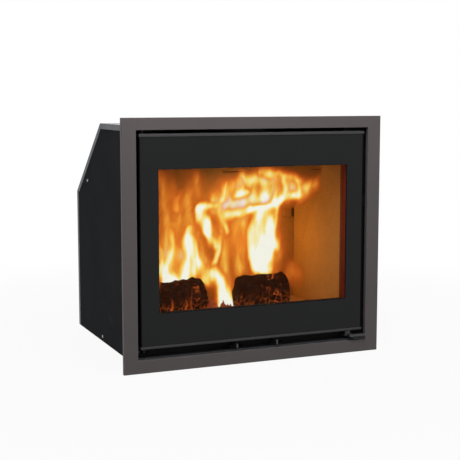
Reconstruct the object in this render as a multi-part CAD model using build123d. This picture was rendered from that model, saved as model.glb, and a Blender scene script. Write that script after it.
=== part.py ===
from build123d import *
import os
from math import atan2, cos, degrees, radians, sin, tan

# Built-in wood fireplace insert: a lined steel firebox with a glazed door, inside a sheet
# metal casing with a sloped back, and a trim frame that covers the edge of the wall niche.
# Millimetres. X runs to the right seen from the room, Y into the wall, Z up. The origin is
# the middle of the base plate's underside, where the casing stands on the niche floor.

# --- Driving dimensions: trim frame --------------------------------------------------------
trim_width = 690.0
trim_height = 610.0
trim_drop = 31.0            # the trim's lower edge hangs this far below the niche floor
trim_side_face = 35.5
trim_top_face = 29.0
trim_bottom_face = 31.0
trim_depth = 10.0
trim_sheet = 2.0
trim_edge_round = 0.8

# --- Driving dimensions: casing ------------------------------------------------------------
trim_overlap_side = 16.0    # trim's outer edge beyond the casing's cover lips
trim_overlap_top = 18.0     # trim's upper edge above the casing's top
casing_depth = 458.0        # wall face to rear face
slope_drop = 189.0          # height that the sloped back takes
side_sheet = 2.0
cover_sheet = 1.5
cover_lip = 14.0
base_sheet = 3.0
base_flange_height = 25.0
base_flange_setback = 20.0
bracket_sheet = 2.0
bracket_height = 30.0
trim_bracket_reach = 43.0
trim_bracket_gap = 2.5      # ear's end to the trim's outer return
spacer_flange = 26.0
bracket_screw_y = 36.0      # behind the wall face
bracket_screw_drop = 202.0  # below the casing's top
rear_screw_y = 108.0        # ahead of the rear face
rear_screw_drop = 51.0      # below the slope
base_screw_y = 2.0          # ahead of the casing's middle

# --- Driving dimensions: firebox -----------------------------------------------------------
plate = 4.0
lining = 30.0
side_air_gap = 33.5         # side panel to firebox
rear_air_gap = 113.5        # rear cover to firebox
air_chamber = 28.0
top_gap = 32.5
slope_gap = 30.0
jamb_margin = 7.5
jamb_head = 4.5
jamb_notch_play = 1.8       # over the air tabs
jamb_notch_top = 26.0
jamb_top_gap = 2.5
riser_depth = 10.0
riser_wall = 1.5
manifold_height = 19.5
manifold_depth = 24.0
air_slit = 3.0
rear_lining_height = 256.0
baffle_heel = 27.0
baffle_drop = 45.7          # baffle's lower front edge below the deflector
baffle_board = 30.0
throat = 75.0
side_lining_stop = 26.0
lining_play = 0.3
slot_height = 5.0
slot_depth = 8.0
side_slot_length = 26.0
centre_slot_length = 58.0
slot_run = 205.0            # along the baffle, from its heel to the slots
baffle_notch_width = 7.0
baffle_notch_height = 25.0
deflector_sheet = 3.0
deflector_drop = 21.0
deflector_gap = 57.0        # deflector's rear edge to the firebox back
rest_width = 12.0

# --- Driving dimensions: hearth ------------------------------------------------------------
grate_width = 250.0
hearth_margin = 49.5        # grate's front and rear edge from the linings' ends
grate_thickness = 12.0
grate_ledge = 10.0
grate_play = 1.0
grate_bars = 13
grate_slot_width = 8.0
grate_rim = 16.0
grate_corner = 3.0
well_sheet = 2.0
well_floor_gap = 2.0
pan_play = 2.0
pan_sheet = 1.5
guard_height = 28.0
guard_thickness = 6.0
guard_foot = 14.0
guard_setback = 23.0

# --- Driving dimensions: flue and air inlet -------------------------------------------------
flue_bore = 150.0
flue_wall = 4.0
flue_rise = 4.0             # collar's top above the casing's top
flue_flange_width = 13.0
flue_flange_thickness = 4.0
flue_front_gap = 1.7        # flue's flange to the front plate
flue_rear_gap = 7.3         # flue's flange to the start of the slope
flue_bolt_size = 6.0
flue_bolt_width = 9.6
flue_bolt_head = 3.6
flue_bolt_count = 4
cover_hole_gap = 3.0
inlet_bore = 100.0
inlet_wall = 2.0
inlet_length = 40.0
inlet_flange_width = 10.0
plenum_margin = 13.0        # plenum's walls beyond the inlet's flange
plenum_sheet = 1.5

# --- Driving dimensions: door --------------------------------------------------------------
door_recess = 5.0
door_gap = 8.7
control_gap = 25.0          # trim opening's lower edge to the door's lower edge
door_depth = 26.0
seal_gap = 5.0
window_side = 48.0
window_top = 85.0
window_bottom = 86.0
window_reveal = 1.4
door_sheet = 2.5
door_rear_plate = 3.0
rail_height = 7.0
rail_lip = 1.5
rail_round = 3.0
glass = 4.0
glass_play = 0.5
glass_hold = 3.0
glass_gasket_thickness = 3.0
glass_flange = 12.0
glass_gasket_width = 10.0
rope_width = 10.0
rope_inset = 4.0
rope_gap = 0.3
rope_corner = 8.0
top_screw_inset = 44.8      # outer rail screws from the door's edges
bottom_screw_inset = 100.8
rail_screw_setback = 14.0
rail_block_half = 8.0
rail_block_height = 8.0
hinge_inset_x = 9.7
hinge_inset_y = 10.5
hinge_pin_size = 8.0
hinge_pin_grip = 16.0
hinge_block = 14.0
hinge_washer_width = 3.2
hinge_gap = 1.5
fitting_sheet = 3.0         # hinge brackets and latch catch
hinge_leg = 10.0
hinge_half = 15.0
running_play = 0.08         # radial, pins and shafts that turn

# --- Driving dimensions: door lever and latch ----------------------------------------------
lever_inset = 34.8          # shaft from the door's edge
lever_shaft_size = 10.0
lever_thickness = 6.0
lever_low = 11.0
lever_hub = 11.0
lever_tip_gap = 2.5         # grip's end to the trim
lever_grip = 10.0
lever_reach = 8.0           # grip ahead of the trim's face
lever_round = 2.0
boss_play = 0.4
bush_wall = 2.0
bush_flange = 1.4
bush_flange_width = 2.0
tongue_length = 13.0
tongue_half = 3.0
tongue_hub_wall = 2.0
tongue_height = 10.0
latch_low = 2.5             # above the door's lower rail
catch_lip = 10.0
catch_offset = 18.0         # catch's far side from the shaft
catch_foot = 22.0
catch_height = 12.0
bearing_rise = 22.0         # above the latch tongue

# --- Driving dimensions: air controls ------------------------------------------------------
primary_tab_x = -50.0
secondary_tab_x = 59.0
tab_thickness = 4.5
tab_height = 12.4
tab_low = 6.8
tab_tail_gap = 2.0          # tab's rear end to the air box
slide_travel = 22.0         # each way
slide_inner = 20.0          # plate's end towards the middle, from the tab
slide_outer = 62.0          # plate's end away from the middle, from the tab
slide_depth = 36.0
slide_sheet = 2.5
slide_neck_half = 6.0
slide_play = 0.3
guide_height = 2.2
guide_width = 6.0
valve_sheet = 2.5
valve_end = 5.0
valve_port_half = 15.0
valve_port_depth = 16.0
air_box_sheet = 2.0

# --- Driving dimensions: fasteners ---------------------------------------------------------
screw_head = 8.0
screw_head_height = 2.2
screw_size = 4.0
screw_play = 0.1
small_screw_head = 6.4
small_screw_height = 1.5
fixing_hole = 9.0
fixing_front = 119.0        # front pair behind the wall face
fixing_rear = 99.0          # rear pair ahead of the rear face
levelling_size = 10.0
levelling_length = 46.0
levelling_front = 59.0      # front pair behind the wall face
levelling_rear = 39.0       # rear pair ahead of the rear face
nut_width = 16.0
nut_height = 8.0

# --- Planes and edges that the sizes give --------------------------------------------------
casing_height = trim_height - trim_drop - trim_overlap_top
rear_height = casing_height - slope_drop
wall_y = -casing_depth / 2
rear_y = casing_depth / 2
front_y = wall_y - trim_depth
lip_x = trim_width / 2 - trim_overlap_side
panel_x = lip_x - cover_sheet
panel_in_x = panel_x - side_sheet
opening_x = trim_width / 2 - trim_side_face
opening_low = trim_bottom_face - trim_drop
opening_high = trim_height - trim_drop - trim_top_face

door_x = opening_x - door_gap
door_low = opening_low + control_gap
door_high = opening_high - door_gap
door_front_y = front_y + door_recess
door_back_y = door_front_y + door_depth
glass_front_y = door_front_y + rail_lip
glass_back_y = glass_front_y + glass
window_x = door_x - window_side
window_low = door_low + window_bottom
window_high = door_high - window_top

jamb_y = door_back_y + seal_gap
jamb_back_y = jamb_y + plate
flue_flange = flue_bore / 2 + flue_wall + flue_flange_width
flue_y = jamb_back_y + flue_front_gap + flue_flange
bend_y = flue_y + flue_flange + flue_rear_gap
slope_angle = atan2(slope_drop, rear_y - bend_y)
lining_y = jamb_back_y + riser_depth
box_x = panel_in_x - side_air_gap
steel_in_x = box_x - plate
firebox_x = steel_in_x - lining
box_back_y = rear_y - cover_sheet - rear_air_gap
steel_back_y = box_back_y - plate
rear_face_y = steel_back_y - lining
floor_low = base_sheet + air_chamber
floor_high = floor_low + plate
hearth_z = floor_high + lining
box_high = casing_height - cover_sheet - top_gap
deflector_z = box_high - plate - deflector_drop - deflector_sheet
jamb_open_high = window_high + jamb_head
rear_lining_high = floor_high + rear_lining_height
baffle_start_z = rear_lining_high + baffle_heel
baffle_end_y = lining_y + throat
baffle_end_z = deflector_z - baffle_drop
baffle_angle = atan2(baffle_end_z - baffle_start_z, rear_face_y - baffle_end_y)
hinge_x = -door_x + hinge_inset_x
hinge_y = door_front_y + hinge_inset_y
lever_x = door_x - lever_inset
lever_y = (glass_back_y + door_back_y - door_rear_plate) / 2
lever_tip_x = opening_x - lever_tip_gap
jamb_notch_bottom = tab_low + tab_height + jamb_notch_play
inlet_flange = inlet_bore / 2 + inlet_wall + inlet_flange_width
plenum_width = 2 * (inlet_flange + plenum_margin)
plenum_height = 2 * inlet_flange + plenum_margin
grate_y = (lining_y + rear_face_y) / 2
grate_depth = rear_face_y - lining_y - 2 * hearth_margin
side_strip_x = (box_x + panel_in_x) / 2
over = 1.0                  # how far cutting solids run past what they cut


def slope_z(y, gap):
    """Height at y of the line that runs the given distance inside the casing's slope."""
    return casing_height - (y - bend_y) * tan(slope_angle) - gap / cos(slope_angle)


def slope_y(z, gap):
    """Place at height z of the line that runs the given distance inside the slope."""
    return bend_y + (casing_height - gap / cos(slope_angle) - z) / tan(slope_angle)


box_bend_y = slope_y(box_high, slope_gap)


# --- Shape helpers -------------------------------------------------------------------------
def block(x, y, z):
    """Box between three (low, high) pairs."""
    sizes = [high - low for low, high in (x, y, z)]
    middle = [(high + low) / 2 for low, high in (x, y, z)]
    return Pos(*middle) * Box(*sizes)


def past(pair):
    """The pair moved outwards at both ends, for a solid that cuts right through."""
    return pair[0] - over, pair[1] + over


def ring(half_x, y, z, width_x, width_low, width_high):
    """Rectangular frame in the XZ plane, centred on x = 0, with the given bar widths."""
    low, high = z
    inner = (low + width_low, high - width_high)
    hole_x = half_x - width_x
    return block((-half_x, half_x), y, z) - block((-hole_x, hole_x), past(y), inner)


def upright(radius, x, y, z):
    """Vertical cylinder between the two heights in z."""
    return Pos(x, y, (z[0] + z[1]) / 2) * Cylinder(radius, z[1] - z[0])


def along_y(radius, x, y, z):
    """Cylinder along Y between the two places in y."""
    return Pos(x, (y[0] + y[1]) / 2, z) * Rot(90, 0, 0) * Cylinder(radius, y[1] - y[0])


def along_x(radius, x, y, z):
    """Cylinder along X between the two places in x."""
    return Pos((x[0] + x[1]) / 2, y, z) * Rot(0, 90, 0) * Cylinder(radius, x[1] - x[0])


def bent_profile(front, back, low, high, gap):
    """Side outline whose upper back corner runs parallel to the casing's slope, gap inside it."""
    bend = (slope_y(high, gap), high)
    return Polygon((front, low), (back, low), (back, slope_z(back, gap)), bend, (front, high), align=None)


def patch(y, z):
    """Rectangle of the side view between the pairs y and z."""
    return Pos((y[0] + y[1]) / 2, (z[0] + z[1]) / 2) * Rectangle(y[1] - y[0], z[1] - z[0])


def across(profile, x):
    """Side view outline made solid between the two places in x."""
    return Pos(x[0], 0, 0) * extrude(Plane.YZ * profile, x[1] - x[0])


def mirrored(shape):
    """The same shape on the other side of the middle plane."""
    return mirror(shape, about=Plane.YZ)


def group(shapes):
    """One node that holds several separate solids."""
    return Compound([solid for shape in shapes for solid in shape.solids()])


def both_sides(shape):
    """The shape and its mirror image as one node."""
    return group([shape, mirrored(shape)])


# --- Trim frame ----------------------------------------------------------------------------
def make_trim_frame():
    """Flat frame with folded returns round its outer and inner edges."""
    half = trim_width / 2
    low = -trim_drop
    high = trim_height - trim_drop
    frame = block((-half, half), (front_y, wall_y), (low, high))
    frame -= block((-opening_x, opening_x), (front_y - over, wall_y + over), (opening_low, opening_high))
    inner_x = opening_x + trim_sheet
    channel = block(
        (-half + trim_sheet, half - trim_sheet),
        (front_y + trim_sheet, wall_y + over),
        (low + trim_sheet, high - trim_sheet),
    )
    channel -= block(
        (-inner_x, inner_x),
        (front_y, wall_y + 2 * over),
        (opening_low - trim_sheet, opening_high + trim_sheet),
    )
    frame -= channel
    return fillet(frame.faces().sort_by(Axis.Y)[0].edges(), trim_edge_round)


def bracket_screw_at():
    """Place of the screw through each trim bracket, as (y, z)."""
    return wall_y + bracket_screw_y, casing_height - bracket_screw_drop


def rear_screw_at():
    """Place of the upper rear side screw, as (y, z)."""
    y = rear_y - rear_screw_y
    return y, slope_z(y, 0) - rear_screw_drop


def base_screw_at():
    """Place of the screw into the base flange, as (y, z)."""
    return -base_screw_y, base_sheet + base_flange_height * 3 / 7


def screw_hole(x, place, radius=screw_size / 2 + screw_play):
    """Hole along X for a side screw at (y, z)."""
    return along_x(radius, x, *place)


def make_trim_brackets():
    """Two angle brackets that hook the trim's side bars to the casing."""
    y, z = bracket_screw_at()
    height = (z - bracket_height / 2, z + bracket_height / 2)
    front = front_y + trim_sheet
    leg = block((panel_x, panel_x + bracket_sheet), (front, wall_y + trim_bracket_reach), height)
    leg -= screw_hole((panel_x - over, panel_x + bracket_sheet + over), (y, z))
    ear_end = trim_width / 2 - trim_sheet - trim_bracket_gap
    ear = block((panel_x, ear_end), (front, front + bracket_sheet), height)
    return both_sides(leg + ear)


# --- Casing --------------------------------------------------------------------------------
def make_side_panel():
    """Right side panel with its front edge folded inwards."""
    top = casing_height - cover_sheet
    outline = bent_profile(wall_y, rear_y - cover_sheet, 0, top, cover_sheet)
    panel = across(outline, (panel_in_x, panel_x))
    panel += block((opening_x, panel_x), (wall_y, wall_y + side_sheet), (base_sheet, top))
    for place in (bracket_screw_at(), rear_screw_at(), base_screw_at()):
        panel -= screw_hole((panel_in_x - over, panel_x + over), place)
    return panel


def make_cover(window):
    """Sheet that wraps the casing inside the given patch of the side view, with side lips."""
    outline = bent_profile(wall_y, rear_y, 0, casing_height, 0)
    front = wall_y - over
    under = bent_profile(front, rear_y - cover_sheet, -over, casing_height - cover_sheet, cover_sheet)
    behind = bent_profile(front, rear_y - cover_lip, -over, casing_height - cover_lip, cover_lip)
    sheet = across((outline - under) & window, (-lip_x, lip_x))
    lip = across((outline - behind) & window, (panel_x, lip_x))
    return sheet + lip + mirrored(lip)


def make_top_cover():
    """Flat top with the flue opening and a front flange behind the trim."""
    cover = make_cover(patch((wall_y, bend_y), (casing_height - cover_lip, casing_height)))
    flange_z = (opening_high, casing_height - cover_sheet)
    cover += block((-opening_x, opening_x), (wall_y, wall_y + cover_sheet), flange_z)
    hole = flue_bore / 2 + flue_wall + cover_hole_gap
    return cover - upright(hole, 0, flue_y, (casing_height - cover_lip, casing_height + over))


def make_slope_cover():
    """Sloped sheet from the flat top down to the rear cover."""
    return make_cover(patch((bend_y, rear_y), (rear_height, casing_height)))


def make_rear_cover():
    """Upright rear sheet with the air inlet's hole."""
    cover = make_cover(patch((rear_y - cover_lip, rear_y), (cover_sheet, rear_height)))
    hole = inlet_bore / 2 + inlet_wall + screw_play
    return cover - along_y(hole, 0, (rear_y - cover_lip, rear_y + over), inlet_z())


def make_base_plate():
    """Base with upturned side flanges, fixing holes and levelling screw holes."""
    base = block((-panel_in_x, panel_in_x), (wall_y, rear_y - cover_sheet), (0, base_sheet))
    flange = block(
        (panel_in_x - side_sheet, panel_in_x),
        (wall_y + base_flange_setback, rear_y - base_flange_setback),
        (0, base_sheet + base_flange_height),
    )
    flange -= screw_hole((panel_in_x - side_sheet - over, panel_in_x + over), base_screw_at())
    base += flange + mirrored(flange)
    for x, y in fixing_places():
        base -= upright(fixing_hole / 2, x, y, (-over, base_sheet + over))
    for x, y in levelling_places():
        base -= upright(levelling_size / 2 + screw_play, x, y, (-over, base_sheet + over))
    return base


def fixing_places():
    """Centres of the four holes that fasten the base to the niche floor."""
    ends = (wall_y + fixing_front, rear_y - fixing_rear)
    return [(x, y) for x in (-side_strip_x, side_strip_x) for y in ends]


def levelling_places():
    """Centres of the four levelling screws."""
    ends = (wall_y + levelling_front, rear_y - levelling_rear)
    return [(x, y) for x in (-side_strip_x, side_strip_x) for y in ends]


def make_levelling_screws():
    """Set screws wound back until their tips are level with the base's underside."""
    socket = levelling_size / 4
    socket_z = (levelling_length - 2 * socket, levelling_length + over)
    screws = []
    for x, y in levelling_places():
        screw = upright(levelling_size / 2, x, y, (0, levelling_length))
        screws.append(screw - upright(socket, x, y, socket_z))
    return group(screws)


def make_levelling_nuts():
    """Weld nuts on the base, one round each levelling screw."""
    nuts = []
    for x, y in levelling_places():
        hexagon = RegularPolygon(nut_width / 2, 6, major_radius=False)
        nut = Pos(x, y, base_sheet) * extrude(hexagon, nut_height)
        thread_z = past((base_sheet, base_sheet + nut_height))
        nuts.append(nut - upright(levelling_size / 2 + screw_play, x, y, thread_z))
    return group(nuts)


def make_spacer(place, towards):
    """Z bracket between the firebox and the side panel. towards is the side of its firebox foot."""
    y, z = place
    half = spacer_flange / 2
    height = (z - bracket_height / 2, z + bracket_height / 2)
    web_y = y + towards * half
    foot_y = web_y + towards * spacer_flange
    web_far_y = web_y + towards * bracket_sheet
    flange = block((panel_in_x - bracket_sheet, panel_in_x), (y - half, y + half), height)
    flange -= screw_hole((panel_in_x - bracket_sheet - over, panel_in_x + over), place)
    web = block((box_x, panel_in_x), sorted((web_y, web_far_y)), height)
    foot = block((box_x, box_x + bracket_sheet), sorted((web_y, foot_y)), height)
    return flange + web + foot


def make_spacer_brackets():
    """Four brackets that hold the firebox clear of the side panels."""
    return both_sides(group([make_spacer(bracket_screw_at(), 1), make_spacer(rear_screw_at(), -1)]))


def side_screw(place, seat_x, length):
    """Domed screw driven in from the right, with its head on the plane x = seat_x."""
    head = along_x(screw_head / 2, (seat_x, seat_x + screw_head_height), *place)
    rim = head.edges().filter_by(GeomType.CIRCLE).sort_by(Axis.X)[-1]
    head = fillet(rim, screw_head_height / 2)
    return head + along_x(screw_size / 2, (seat_x - length, seat_x), *place)


def make_casing_screws():
    """The side screws of both panels."""
    grip = side_sheet + 2 * bracket_sheet + screw_head_height
    outer = panel_x + bracket_sheet
    screws = [
        side_screw(bracket_screw_at(), outer, grip + bracket_sheet),
        side_screw(rear_screw_at(), panel_x, grip),
        side_screw(base_screw_at(), panel_x, grip),
    ]
    return both_sides(group(screws))


# --- Firebox shell -------------------------------------------------------------------------
def ash_hole(z, grow=0.0):
    """The opening under the grate, between two heights."""
    half_x = grate_width / 2 - grate_ledge + grow
    half_y = grate_depth / 2 - grate_ledge + grow
    return block((-half_x, half_x), (grate_y - half_y, grate_y + half_y), z)


def make_firebox_floor():
    """Steel floor with the ash opening and the two slots that feed the air risers."""
    floor = block((-box_x, box_x), (jamb_back_y, box_back_y), (floor_low, floor_high))
    floor -= ash_hole((floor_low - over, floor_high + over))
    slot = block(
        (firebox_x + riser_wall, steel_in_x - riser_wall),
        (jamb_back_y + riser_wall, lining_y - riser_wall),
        (floor_low - over, floor_high + over),
    )
    return floor - slot - mirrored(slot)


def make_firebox_side():
    """Right side plate of the firebox."""
    outline = bent_profile(jamb_back_y, steel_back_y, floor_high, box_high - plate, slope_gap + plate)
    return across(outline, (steel_in_x, box_x))


def make_firebox_back():
    """Rear plate, folded forwards under the casing's slope."""
    front = jamb_back_y - over
    outer = bent_profile(front, box_back_y, floor_high, box_high, slope_gap)
    inner = bent_profile(front, steel_back_y, floor_high - over, box_high - plate, slope_gap + plate)
    part = patch((box_bend_y, box_back_y), (floor_high, box_high))
    return across((outer - inner) & part, (-box_x, box_x))


def make_firebox_top():
    """Top plate with the hole for the flue collar."""
    top = block((-box_x, box_x), (jamb_back_y, box_bend_y), (box_high - plate, box_high))
    top -= upright(flue_bore / 2 + flue_wall, 0, flue_y, (box_high - plate - over, box_high + over))
    for x, y in flue_bolt_places():
        top -= upright(flue_bolt_size / 2 + screw_play, x, y, (box_high - plate - over, box_high + over))
    return top


def make_firebox_front():
    """Front plate: the door closes against it, and it carries the hinges and the catch."""
    half = panel_in_x - jamb_margin
    high = casing_height - cover_sheet - jamb_top_gap
    depth = (jamb_y, jamb_back_y)
    through = (jamb_y - over, jamb_back_y + over)
    front = block((-half, half), depth, (base_sheet, high))
    front -= block((-firebox_x, firebox_x), through, (hearth_z, jamb_open_high))
    front -= block((-firebox_x, firebox_x), through, (0, jamb_notch_bottom))
    front -= block((-firebox_x, firebox_x), through, (high - jamb_notch_top, high + over))
    for x, z in jamb_screw_places():
        front -= along_y(screw_size / 2 + screw_play, x, through, z)
    return front


def make_air_riser():
    """Right riser duct, welded from strips, which takes air from the chamber up to the manifold."""
    x = (firebox_x, steel_in_x)
    y = (jamb_back_y, lining_y)
    z = (floor_high, manifold_low() + manifold_height)
    inside_y = (y[0] + riser_wall, y[1] - riser_wall)
    front = block(x, (y[0], inside_y[0]), z)
    rear = block(x, (inside_y[1], y[1]), z)
    inner = block((x[0], x[0] + riser_wall), inside_y, (z[0], manifold_low() + riser_wall))
    outer = block((x[1] - riser_wall, x[1]), inside_y, (z[0], z[1] - riser_wall))
    cap = block(x, inside_y, (z[1] - riser_wall, z[1]))
    return group([front, rear, inner, outer, cap])


def manifold_low():
    """Underside of the air wash manifold."""
    return jamb_open_high + lining_play


def make_air_manifold():
    """Duct over the opening, welded from strips, that blows air down the glass through a slit."""
    x = firebox_x - lining_play
    y = (jamb_back_y, jamb_back_y + manifold_depth)
    z = (manifold_low(), manifold_low() + manifold_height)
    inside_y = (y[0] + riser_wall, y[1] - riser_wall)
    slit_y = (inside_y[0], inside_y[0] + air_slit)
    front = block((-x, x), (y[0], inside_y[0]), z)
    rear = block((-x, x), (inside_y[1], y[1]), z)
    top = block((-x, x), inside_y, (z[1] - riser_wall, z[1]))
    bottom_z = (z[0], z[0] + riser_wall)
    bottom = block((-x, x), (slit_y[1], inside_y[1]), bottom_z)
    slit_ends = both_sides(block((x - lining, x), slit_y, bottom_z))
    return group([front, rear, top, bottom, slit_ends])


# --- Linings and baffles -------------------------------------------------------------------
def baffle_point(run, rise=0.0):
    """Point (y, z) at a distance along the baffle's underside from its heel, and above it."""
    y = rear_face_y - run * cos(baffle_angle) + rise * sin(baffle_angle)
    return y, baffle_start_z + run * sin(baffle_angle) + rise * cos(baffle_angle)


def baffle_run():
    """Length of the baffle's sloped underside."""
    return (rear_face_y - baffle_end_y) / cos(baffle_angle)


def make_rear_lining():
    """Rear board, as tall as the baffle's heel."""
    x = steel_in_x - lining_play
    return block((-x, x), (rear_face_y, steel_back_y - lining_play), (floor_high, rear_lining_high))


def make_side_lining():
    """Right side board, cut to the slope that the baffle rests on."""
    back = rear_face_y - lining_play
    start = baffle_point(lining_play / cos(baffle_angle))
    end = baffle_point(baffle_run())
    stop_y = end[0] - lining_play
    points = [
        (lining_y, floor_high),
        (back, floor_high),
        (back, start[1] - 2 * lining_play),
        (end[0], end[1] - 2 * lining_play),
        (stop_y, end[1] - 2 * lining_play),
        (stop_y, end[1] + side_lining_stop),
        (lining_y, end[1] + side_lining_stop),
    ]
    return across(Polygon(*points, align=None), (firebox_x, steel_in_x - lining_play))


def make_baffle():
    """Sloped board over the fire, with its heel on the rear lining and grooves under its front."""
    back = steel_back_y - lining_play
    end = baffle_point(baffle_run())
    end_top = baffle_point(baffle_run(), baffle_board)
    back_z = end_top[1] - (back - end_top[0]) * tan(baffle_angle)
    heel_z = rear_lining_high + lining_play
    heel = [(rear_face_y, baffle_start_z), (rear_face_y, heel_z), (back, heel_z), (back, back_z)]
    half = steel_in_x - 2 * lining_play
    board = across(Polygon(*heel, end_top, end, align=None), (-half, half))
    notch_y = (rear_face_y - over, rear_face_y + slot_depth)
    notch_z = (heel_z - over, heel_z + baffle_notch_height)
    corner = block((firebox_x - baffle_notch_width, half + over), notch_y, notch_z)
    board -= corner + mirrored(corner)
    turn = Rot(0, 0, -degrees(baffle_angle))
    groove = Pos(*baffle_point(slot_run)) * turn * Rectangle(slot_height, 2 * slot_depth)
    for span in groove_spans():
        board -= across(groove, span)
    return board


def groove_spans():
    """Left and right ends of the three grooves under the baffle."""
    side = (firebox_x - side_slot_length, firebox_x)
    centre = (-centre_slot_length / 2, centre_slot_length / 2)
    return [(-side[1], -side[0]), centre, side]


def deflector_back():
    """Rear edge of the deflector, which leaves a gap in front of the firebox back."""
    return slope_y(deflector_z + deflector_sheet, slope_gap + plate) - deflector_gap


def make_deflector():
    """Steel plate above the baffle that sends the smoke to the back before the flue."""
    x = steel_in_x - lining_play
    y = (jamb_back_y + lining_play, deflector_back())
    return block((-x, x), y, (deflector_z, deflector_z + deflector_sheet))


def make_deflector_rests():
    """Strips on the firebox sides that the deflector lies on."""
    z = (deflector_z - deflector_sheet, deflector_z)
    y = (lining_y, deflector_back())
    return both_sides(block((steel_in_x - rest_width, steel_in_x), y, z))


# --- Hearth --------------------------------------------------------------------------------
def floor_lining_board():
    """The whole hearth board, with the ash opening and the ledge that the grate lies in."""
    x = firebox_x - lining_play
    y = (jamb_back_y + lining_play, rear_face_y - lining_play)
    board = block((-x, x), y, (floor_high, hearth_z))
    half_x = grate_width / 2 + grate_play
    half_y = grate_depth / 2 + grate_play
    ledge = (hearth_z - grate_thickness, hearth_z + over)
    board -= block((-half_x, half_x), (grate_y - half_y, grate_y + half_y), ledge)
    return board - ash_hole((floor_high - over, hearth_z))


def make_floor_linings():
    """Four hearth boards round the grate: left, right, front and rear."""
    board = floor_lining_board()
    half_depth = grate_depth / 2 + grate_play
    front = grate_y - half_depth
    back = grate_y + half_depth
    side = grate_width / 2 - grate_ledge
    z = (floor_high, hearth_z)
    wide = (-firebox_x, firebox_x)
    narrow = (-side + lining_play, side - lining_play)
    between = (front + lining_play, back - lining_play)
    front_part = block(wide, (jamb_back_y, front), z) + block(narrow, (jamb_back_y, grate_y), z)
    rear_part = block(wide, (back, rear_face_y), z) + block(narrow, (grate_y, rear_face_y), z)
    return {
        "floor_lining_left": board & block((-firebox_x, -side), between, z),
        "floor_lining_right": board & block((side, firebox_x), between, z),
        "floor_lining_front": board & front_part,
        "floor_lining_rear": board & rear_part,
    }


def make_grate():
    """Cast grate with a rim and two rows of slots."""
    half_x = grate_width / 2
    half_y = grate_depth / 2
    z = (hearth_z - grate_thickness, hearth_z)
    grate = block((-half_x, half_x), (grate_y - half_y, grate_y + half_y), z)
    pitch = (grate_width - 2 * grate_rim) / grate_bars
    slot_y = half_y - 1.5 * grate_rim
    cutter = extrude(SlotOverall(slot_y, grate_slot_width, rotation=90), grate_thickness + 2 * over)
    for index in range(grate_bars):
        x = -half_x + grate_rim + pitch * (index + 0.5)
        for side in (-1, 1):
            y = grate_y + side * (slot_y + grate_rim) / 2
            grate -= Pos(x, y, z[0] - over) * cutter
    corners = grate.edges().filter_by(Axis.Z).sort_by(lambda edge: -abs(edge.center().X))[0:4]
    return fillet(corners, grate_corner)


def make_ash_well():
    """Open box under the firebox floor that the ash pan stands in."""
    z = (base_sheet + well_floor_gap, floor_low)
    return ash_hole(z, well_sheet) - ash_hole((z[0] + well_sheet, floor_low + over))


def pan_z():
    """Lower and upper edge of the ash pan."""
    low = base_sheet + well_floor_gap + well_sheet + lining_play
    return low, hearth_z - grate_thickness - pan_play


def make_ash_pan():
    """Open tray that lifts out once the grate is off."""
    low, high = pan_z()
    pan = ash_hole((low, high), -pan_play)
    return pan - ash_hole((low + pan_sheet, high + over), -pan_play - pan_sheet)


def guard_y():
    """Front face of the log guard."""
    return lining_y + guard_setback


def make_log_guard():
    """Angle bar that keeps logs off the glass."""
    x = firebox_x - 2 * lining_play
    y = guard_y()
    bar = block((-x, x), (y, y + guard_thickness), (hearth_z, hearth_z + guard_height))
    bar += block((-x, x), (y, y + guard_foot), (hearth_z, hearth_z + guard_thickness / 2))
    top = bar.edges().filter_by(Axis.X).group_by(Axis.Z)[-1]
    return fillet(top, guard_thickness / 4)


# --- Flue and air inlet --------------------------------------------------------------------
def flue_bolt_places():
    """Centres of the bolts round the flue collar."""
    radius = flue_bore / 2 + flue_wall + flue_flange_width / 2
    step = 360 / flue_bolt_count
    angles = [radians(step * (index + 0.5)) for index in range(flue_bolt_count)]
    return [(radius * cos(angle), flue_y + radius * sin(angle)) for angle in angles]


def make_flue_collar():
    """Flanged cast collar that takes the flue pipe."""
    outer = flue_bore / 2 + flue_wall
    top = casing_height + flue_rise
    flange_top = box_high + flue_flange_thickness
    collar = upright(outer, 0, flue_y, (box_high - plate, top))
    collar += upright(flue_flange, 0, flue_y, (box_high, flange_top))
    collar -= upright(flue_bore / 2, 0, flue_y, (box_high - plate - over, top + over))
    for x, y in flue_bolt_places():
        collar -= upright(flue_bolt_size / 2 + screw_play, x, y, (box_high - over, flange_top + over))
    return collar


def make_flue_bolts():
    """Hexagon bolts that hold the flue collar on the firebox."""
    seat = box_high + flue_flange_thickness
    bolts = []
    for x, y in flue_bolt_places():
        hexagon = RegularPolygon(flue_bolt_width / 2, 6, major_radius=False)
        head = Pos(x, y, seat) * extrude(hexagon, flue_bolt_head)
        bolts.append(head + upright(flue_bolt_size / 2, x, y, (box_high - plate - over, seat)))
    return group(bolts)


def inlet_z():
    """Height of the air inlet's axis."""
    return base_sheet + plenum_height / 2


def make_air_inlet():
    """Flanged collar in the rear cover for the outside air duct."""
    outer = inlet_bore / 2 + inlet_wall
    z = inlet_z()
    flange_y = (rear_y - cover_sheet - inlet_wall, rear_y - cover_sheet)
    collar = along_y(outer, 0, (rear_y - inlet_length, rear_y), z)
    collar += along_y(inlet_flange, 0, flange_y, z)
    return collar - along_y(inlet_bore / 2, 0, (rear_y - inlet_length - over, rear_y + over), z)


def make_air_plenum():
    """Folded hood behind the firebox that leads the outside air under its floor."""
    half = plenum_width / 2
    y = (box_back_y, rear_y - cover_sheet)
    top = base_sheet + plenum_height
    inner = half - plenum_sheet
    hood = block((-half, half), y, (base_sheet, top))
    return hood - block((-inner, inner), past(y), (0, top - plenum_sheet))


# --- Air controls --------------------------------------------------------------------------
def slide_z():
    """Lower and upper face of the slide plates."""
    low = base_sheet + guide_height + slide_play
    return low, low + slide_sheet


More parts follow.
